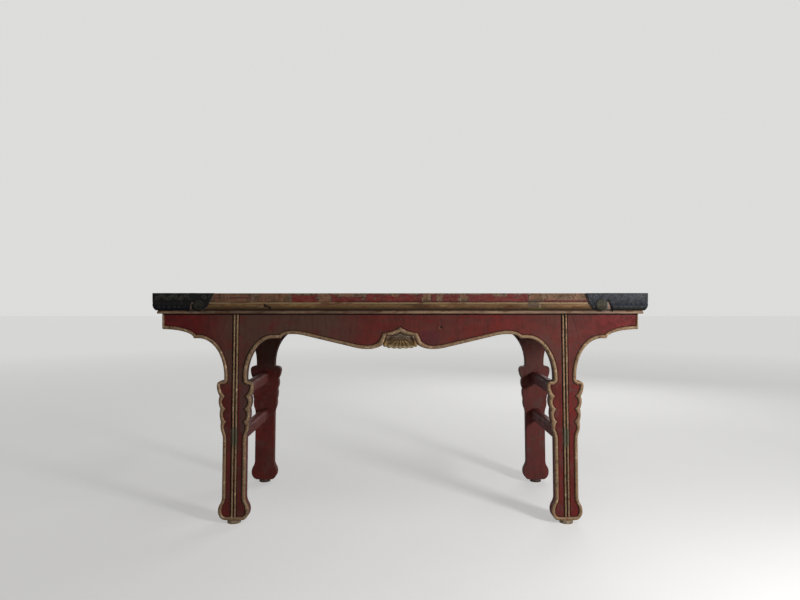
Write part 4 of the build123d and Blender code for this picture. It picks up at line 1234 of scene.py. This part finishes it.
# %% Smoked gilding: repairs, holes, grime and painted shadow
# Beside the mounts the strip shows through their notches. The first three spots in the list below are holes;
# the last two, beside the curls, and a line along the right mount's sheet are painted shadow of the iron.
HOLES_AND_SHADOWS = [((-497.0, 813.0), (5.0, 5.0)), ((-481.0, 804.0), (4.0, 5.0)), ((-488.0, 810.0), (5.0, 3.0)),
         ((737.5, 811.5), (26.0, 19.0)), ((-762.5, 808.0), (6.5, 14.0))]
gilt, grime = (add(tree, "Attribute", out="Fac", attribute_name=layer) for layer in ("gilt", "grime"))
olive = around(tree, spot, (500.0, 801.0), (30.0, 3.5))
right_notch = around(tree, spot, (770.0, 806.0), (11.0, 20.0))
left_notch = around(tree, spot, (-772.0, 806.0), (12.0, 20.0))
white = add(tree, "Math", [around(tree, spot, (517.0, 812.0), (4.0, 8.0)),
                           around(tree, spot, (-511.0, 809.0), (13.0, 3.5))], operation="MAXIMUM")
white = add(tree, "Math", [white, patches(tree, spot, 7, 0.45, 0.6)], operation="MULTIPLY")
filled = coats(tree, worn, (old_repair(tree, spot), FILLER), (olive, "#5E5430"), (white, "#B5A08B"),
               (right_notch, "#8A7264"), (left_notch, "#715A50"))
wavy_x = add(tree, "Math", [rubbed, 0.002, x], operation="MULTIPLY_ADD")
slant = add(tree, "Math", [z, 0.837, wavy_x], operation="MULTIPLY_ADD")
# A line of painted shadow along the edge of the right mount's sheet.
by_sheet = within(tree, (slant, 1.3782, 1.3794), (x, 0.757, 0.753))
black = merged(tree, [*(around(tree, spot, place, reach) for place, reach in HOLES_AND_SHADOWS), by_sheet])
above_bead = add(tree, "MapRange", {"Value": z, "From Min": 0.7935, "From Max": 0.795})
black = add(tree, "Math", [black, above_bead], operation="MULTIPLY")
holed_and_shadowed = coats(tree, filled, (black, "#17100C"))
dirt_and_shade = add(tree, "Math", [grime, 0.88], operation="MULTIPLY")
clean = add(tree, "Math", [1.0, dirt_and_shade], operation="SUBTRACT")
dirty_and_shaded = coats(tree, "#4A2C26", (gilt, holed_and_shadowed), (dirt_and_shade, "#231A14"))
rough = add(tree, "MapRange", {"Value": rubbed, "To Min": 0.52, "To Max": 0.68})
metal = add(tree, "Math", [clean, 0.15], operation="MULTIPLY")
worn_away = add(tree, "Math", [rubbed, specks], operation="ADD")
relief = add(tree, "Math", [1.0, worn_away], operation="SUBTRACT")
complete(tree, relief, 0.15, Base_Color=dirty_and_shaded, Roughness=rough, Metallic=metal, Specular_IOR_Level=0.2)
print("smoked gilding:", len(tree.nodes), "nodes")

# %% [markdown]
# ## Blackened iron
# The corner mounts are wrought sheet iron, beaten thin, blackened with oil over a fire and chased, with brown
# rust here and there. Their tone is painted lighter and blue-grey on the right of the table and darker on the
# left, painted light from the right, and painted bands of shade and highlight follow the moulding under the
# sheet. Hammer marks dimple it. The curl's round eye is rubbed to an olive brown, and a black crescent along
# its left side is painted shadow.

# %% Blackened iron
# Oxide dulls the metal: metallic 0.3, roughness 0.5 to 0.65. The chased ridges are rubbed brighter.
iron, tree, spot = new_finish("blackened_wrought_iron")
x, y, z = (add(tree, "SeparateXYZ", [spot], out=axis) for axis in "XYZ")
side = add(tree, "MapRange", {"Value": x, "From Min": -0.7, "From Max": 0.7})
up = add(tree, "MapRange", {"Value": z, "From Min": 0.79, "From Max": 0.86})
mottle = patches(tree, spot, 12, 0.38, 0.62)
crest = add(tree, "Attribute", out="Fac", attribute_name="crest")
# Both ramps paint bands of shade and highlight up the sheet that follow the moulding under it: a dark groove
# line, a paler band on the ovolo and dark below. The ramp named dark is the tone on the left of the table,
# light the tone on the right, and side mixes them: painted light from the right.
dark, light = (add(tree, "ValToRGB", {"Fac": up}, stops=stops) for stops in (
    [(0.0, "#0A0908"), (0.1, "#040404"), (0.16, "#150F20"), (0.26, "#171222"), (0.33, "#131513"),
     (0.5, "#1B1B19"), (0.9, "#1E1D1A"), (1.0, "#23211E")],
    [(0.0, "#15120F"), (0.12, "#1E1B17"), (0.2, "#2F2E2A"), (0.3, "#36393D"), (0.36, "#0E141E"),
     (0.45, "#101722"), (0.49, "#303236"), (1.0, "#343639")]))
lit_and_shaded_iron = coats(tree, dark, (side, light), (mottle, "#131415", 0.3))


def round_spots(centre, reach, shift=0.0):
    """Two round spots on the iron, at (x, z) on the right and mirrored on the left, then both shifted to the
    right, all in millimetres."""
    spots = []
    for hand in (-1, 1):
        middle = ((hand * centre[0] + shift) * MM, -0.316, centre[1] * MM)
        away = add(tree, "VectorMath", [spot, middle], out="Value", operation="DISTANCE")
        spots.append(add(tree, "MapRange", {"Value": away, "From Min": (reach + 0.6) * MM,
                                            "From Max": reach * MM}))
    return add(tree, "Math", spots, operation="MAXIMUM")


print("iron so far:", len(tree.nodes), "nodes")

# %% Blackened iron: rubbed eye and ridges, painted shadow and rust
uneven = add(tree, "Math", [mottle, -0.35, 1.0], operation="MULTIPLY_ADD")
eye = add(tree, "Math", [round_spots(curl_centre, 21.5), uneven], operation="MULTIPLY")
# The eye's and the ridges' tones are also painted lighter on the right: painted light from the right.
eye_tone = coats(tree, "#2E2C26", (side, "#3E3A2B"))
ridge_tone = coats(tree, "#6C6A60", (side, "#6E7276"))
handled = add(tree, "Math", [crest, patches(tree, spot, 30, 0.2, 0.5)], operation="MULTIPLY", use_clamp=True)
# Black on the notch's ridge, in a crescent along the curl's left and in a line beside the notch is painted
# shadow of the sheet's edges.
black_ridge_shadow = add(tree, "Math", [crest, -1.0], operation="MULTIPLY", use_clamp=True)
wide_spots = round_spots((742.0, 812.0), 25.0, -2.0)
inner_spots = round_spots((742.0, 815.5), 22.0, 3.0)
crescent = add(tree, "Math", [wide_spots, inner_spots], operation="SUBTRACT", use_clamp=True)
slant = add(tree, "Math", [z, 0.443, x], operation="MULTIPLY_ADD")
beside_notch = within(tree, (slant, 1.1325, 1.1330), (slant, 1.1408, 1.1402), (z, 0.8370, 0.8355),
                      (y, -0.300, -0.305))
painted_shadow_black = merged(tree, [black_ridge_shadow, crescent, beside_notch])
rust = patches(tree, spot, 16, 0.56, 0.68)
rusty = coats(tree, lit_and_shaded_iron, (eye, eye_tone), (handled, ridge_tone), (painted_shadow_black, "#080808"), (rust, "#3A302A", 0.5))
dimples = add(tree, "TexVoronoi", {"Vector": spot, "Scale": 1000 / 7}, feature="SMOOTH_F1")
rough = add(tree, "MapRange", {"Value": mottle, "To Min": 0.5, "To Max": 0.65})
complete(tree, dimples, 0.25, Base_Color=rusty, Roughness=rough, Metallic=0.3, Specular_IOR_Level=0.2)
print("iron:", len(tree.nodes), "nodes")

# %% [markdown]
# ## Top, underside and pads
# The top's panel has the same lacquer, worn dull and brown by incense bowls, with fine crackle all over and
# an open line at each joint between its boards. Its underside, and the battens, only have a dark undercoat
# brushed over hemp cloth, whose weave still shows. The pads are bare elm, grey with age, its grain running
# across the floor.

# %% Table top lacquer
# Crackle spacing on old thick lacquer is about a centimetre. Ash and wax make it dull: roughness 0.6 to 0.8.
joint_y = 72.83  # the two joints of the panel's three boards lie this far from its middle
top_lacquer, tree, spot = new_finish("crackled_table_lacquer")
y, z = (add(tree, "SeparateXYZ", [spot], out=axis) for axis in "YZ")
clouds = patches(tree, spot, 120, 0.35, 0.65)
rubbed = patches(tree, spot, 60, 0.50, 0.66, stretch=(0.3, 1, 1))
brown = coats(tree, "#6E342E", (clouds, "#4E2A24"), (rubbed, "#5B4334"))
cells = add(tree, "TexVoronoi", {"Vector": spot, "Scale": 1000 / 11}, feature="DISTANCE_TO_EDGE")
crackle = add(tree, "MapRange", {"Value": cells, "From Min": 0.0, "From Max": 0.06})
off_middle = add(tree, "Math", [y], operation="ABSOLUTE")
from_joint = add(tree, "Math", [off_middle, joint_y * MM], operation="SUBTRACT")
from_joint = add(tree, "Math", [from_joint], operation="ABSOLUTE")
sound = add(tree, "MapRange", {"Value": from_joint, "From Min": 0.4 * MM, "From Max": 0.9 * MM})
under = add(tree, "MapRange", {"Value": z, "From Min": 0.8575, "From Max": 0.858,
                               "To Min": 1.0, "To Max": 0.0})
crackled = coats(tree, "#2E1B17", (crackle, brown))
shown = coats(tree, "#1E1410", (sound, crackled), (under, "#2C211C"))
rough = add(tree, "MapRange", {"Value": rubbed, "To Min": 0.62, "To Max": 0.8})
complete(tree, crackle, 0.15, Base_Color=shown, Roughness=rough, Specular_IOR_Level=0.15)
print("table top:", len(tree.nodes), "nodes")

# %% Undercoat and elm
# Hemp cloth has a thread every 1.5 mm and elm's grain lies 4 mm apart, both too fine to show here. The wave
# node runs through 20 radians in a metre at a scale of 1. Here it runs through one radian, not a whole wave,
# for each thread and each line of grain, so both are drawn about six times as coarse.
radians_per_metre = 20
undercoat, tree, spot = new_finish("dark_undercoat_on_hemp")
threads = [add(tree, "TexWave", {"Vector": spot, "Scale": 1000 / 1.5 / radians_per_metre, "Distortion": 0.6,
                                 "Detail": 2.0}, bands_direction=axis) for axis in "XY"]
weave = add(tree, "Math", threads, operation="ADD")
smears = patches(tree, spot, 80, 0.35, 0.65, stretch=(1, 0.3, 1))
dust = patches(tree, spot, 12, 0.56, 0.7)
dusty = coats(tree, "#3A2A22", (smears, "#2A1E19"), (dust, "#5A4A3C"))
complete(tree, weave, 0.2, Base_Color=dusty, Roughness=0.7)

elm, tree, spot = new_finish("greyed_elm")
grain = add(tree, "TexWave", {"Vector": spot, "Scale": 1000 / 4 / radians_per_metre, "Distortion": 3.0,
                              "Detail": 3.0}, bands_direction="Y")
y = add(tree, "SeparateXYZ", [spot], out="Y")
# The pads at the back are painted darker: shade under the table.
behind = add(tree, "MapRange", {"Value": y, "From Min": -0.1, "From Max": 0.1})
greyed = coats(tree, "#A8957A", (grain, "#8A755C"), (patches(tree, spot, 9, 0.5, 0.68), "#5E5144"),
               (behind, "#4A3A30"))
complete(tree, grain, 0.2, Base_Color=greyed, Roughness=0.75)
print("finishes:", len(bpy.data.materials))

# %% [markdown]
# ## Every piece gets its finish
# A new piece rides on the table's one body and gets its finish in a material slot of its own. The boards
# of the top and the battens are the solids themselves: only their material changes.

# %% Dressing the pieces
def dress(pieces, finish):
    """Gives pieces a finish, a body and a material slot."""
    for piece in pieces:
        piece.data.materials.clear()
        piece.data.materials.append(finish)
        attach(piece, "root")


dress([*legs.values(), apron_front, apron_rear, apron_right, apron_left, *stretchers],
      cinnabar)
dress([piece for (kind, _), piece in members.items() if kind == "frame"], flaked)
dress([piece for (kind, _), piece in members.items() if kind == "moulding"], smoked)
dress([leaf_front, leaf_rear], smoked)
dress(mounts.values(), iron)
dress(pads.values(), elm)
for name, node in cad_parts.items():
    finish = top_lacquer if name.startswith("top_board") else undercoat if name.startswith("batten") else None
    if finish:
        for place in node.material_slots:
            place.material = finish

# %% [markdown]
# ## Floor, camera and light
# The table stands on a plain pale floor before a pale background, level with the eye. A soft lamp stands
# close on the right in front, not much above the top, weaker ones hang above and behind, and the pale
# surroundings fill the shadows. Far from the table the floor glows a little for the eye alone, so that it
# melts into the background.

# %% Floor
start_over()
bpy.ops.mesh.primitive_plane_add(size=60.0, location=(0, 0, 0))
floor = bpy.context.object
floor.name = "floor"
paper, tree, spot = new_finish("studio_paper")
faint = patches(tree, spot, 900, 0.3, 0.7)
tone = coats(tree, "#D9D8D6", (faint, "#D4D3D1"))
away = add(tree, "VectorMath", [spot], out="Value", operation="LENGTH")
farther = add(tree, "MapRange", {"Value": away, "From Min": 0.8, "From Max": 9.0,
                                 "To Min": 0.44, "To Max": 0.69})
glow = add(tree, "Math", [add(tree, "LightPath", out="Is Camera Ray"), farther], operation="MULTIPLY")
complete(tree, faint, 0.1, Base_Color=tone, Roughness=0.9, Specular_IOR_Level=0.05, Emission_Color="#EDEDEC",
         Emission_Strength=glow)
floor.data.materials.append(paper)
print("floor glow:", len(tree.nodes), "nodes")

# %% Camera
bpy.ops.object.camera_add(location=(-0.0007, -2.666, 0.8337), rotation=(pi / 2, 0, 0))
camera = bpy.context.object
camera.data.sensor_width, camera.data.lens = 36.0, 28.7
bpy.context.scene.camera = camera
print("camera:", tuple(round(v, 3) for v in camera.location), "lens", round(camera.data.lens, 1))


# %% Light
def soft_lamp(name, place, aim, size, power):
    """A square soft lamp that faces a point."""
    bpy.ops.object.light_add(type="AREA", location=place)
    lamp = bpy.context.object
    lamp.name = name
    lamp.data.shape, lamp.data.size, lamp.data.energy = "SQUARE", size, power
    lamp.rotation_euler = (Vector(aim) - Vector(place)).to_track_quat("-Z", "Y").to_euler()
    lamp.visible_camera = False


soft_lamp("key", (1.85, -1.95, 1.14), (0.1, -0.3, 0.6), 0.4, 37.0)
soft_lamp("above", (1.4, -1.4, 3.2), (0.0, 0.0, 0.6), 2.0, 11.0)
soft_lamp("behind", (1.6, 3.2, 2.4), (0.0, 0.0, 0.5), 2.2, 31.0)
world = bpy.context.scene.world or bpy.data.worlds.new("World")
bpy.context.scene.world = world
world.use_nodes = True
tree = world.node_tree
rays = [add(tree, "LightPath", out=f"Is {kind} Ray") for kind in ("Camera", "Glossy", "Transmission")]
seen = merged(tree, rays)
sky = tree.nodes["Background"]
feed(tree, sky.inputs["Color"], "#EDEDEC")
feed(tree, sky.inputs["Strength"], add(tree, "MapRange", {"Value": seen, "To Min": 0.12, "To Max": 0.85}))
bpy.context.scene.view_settings.view_transform = "Standard"
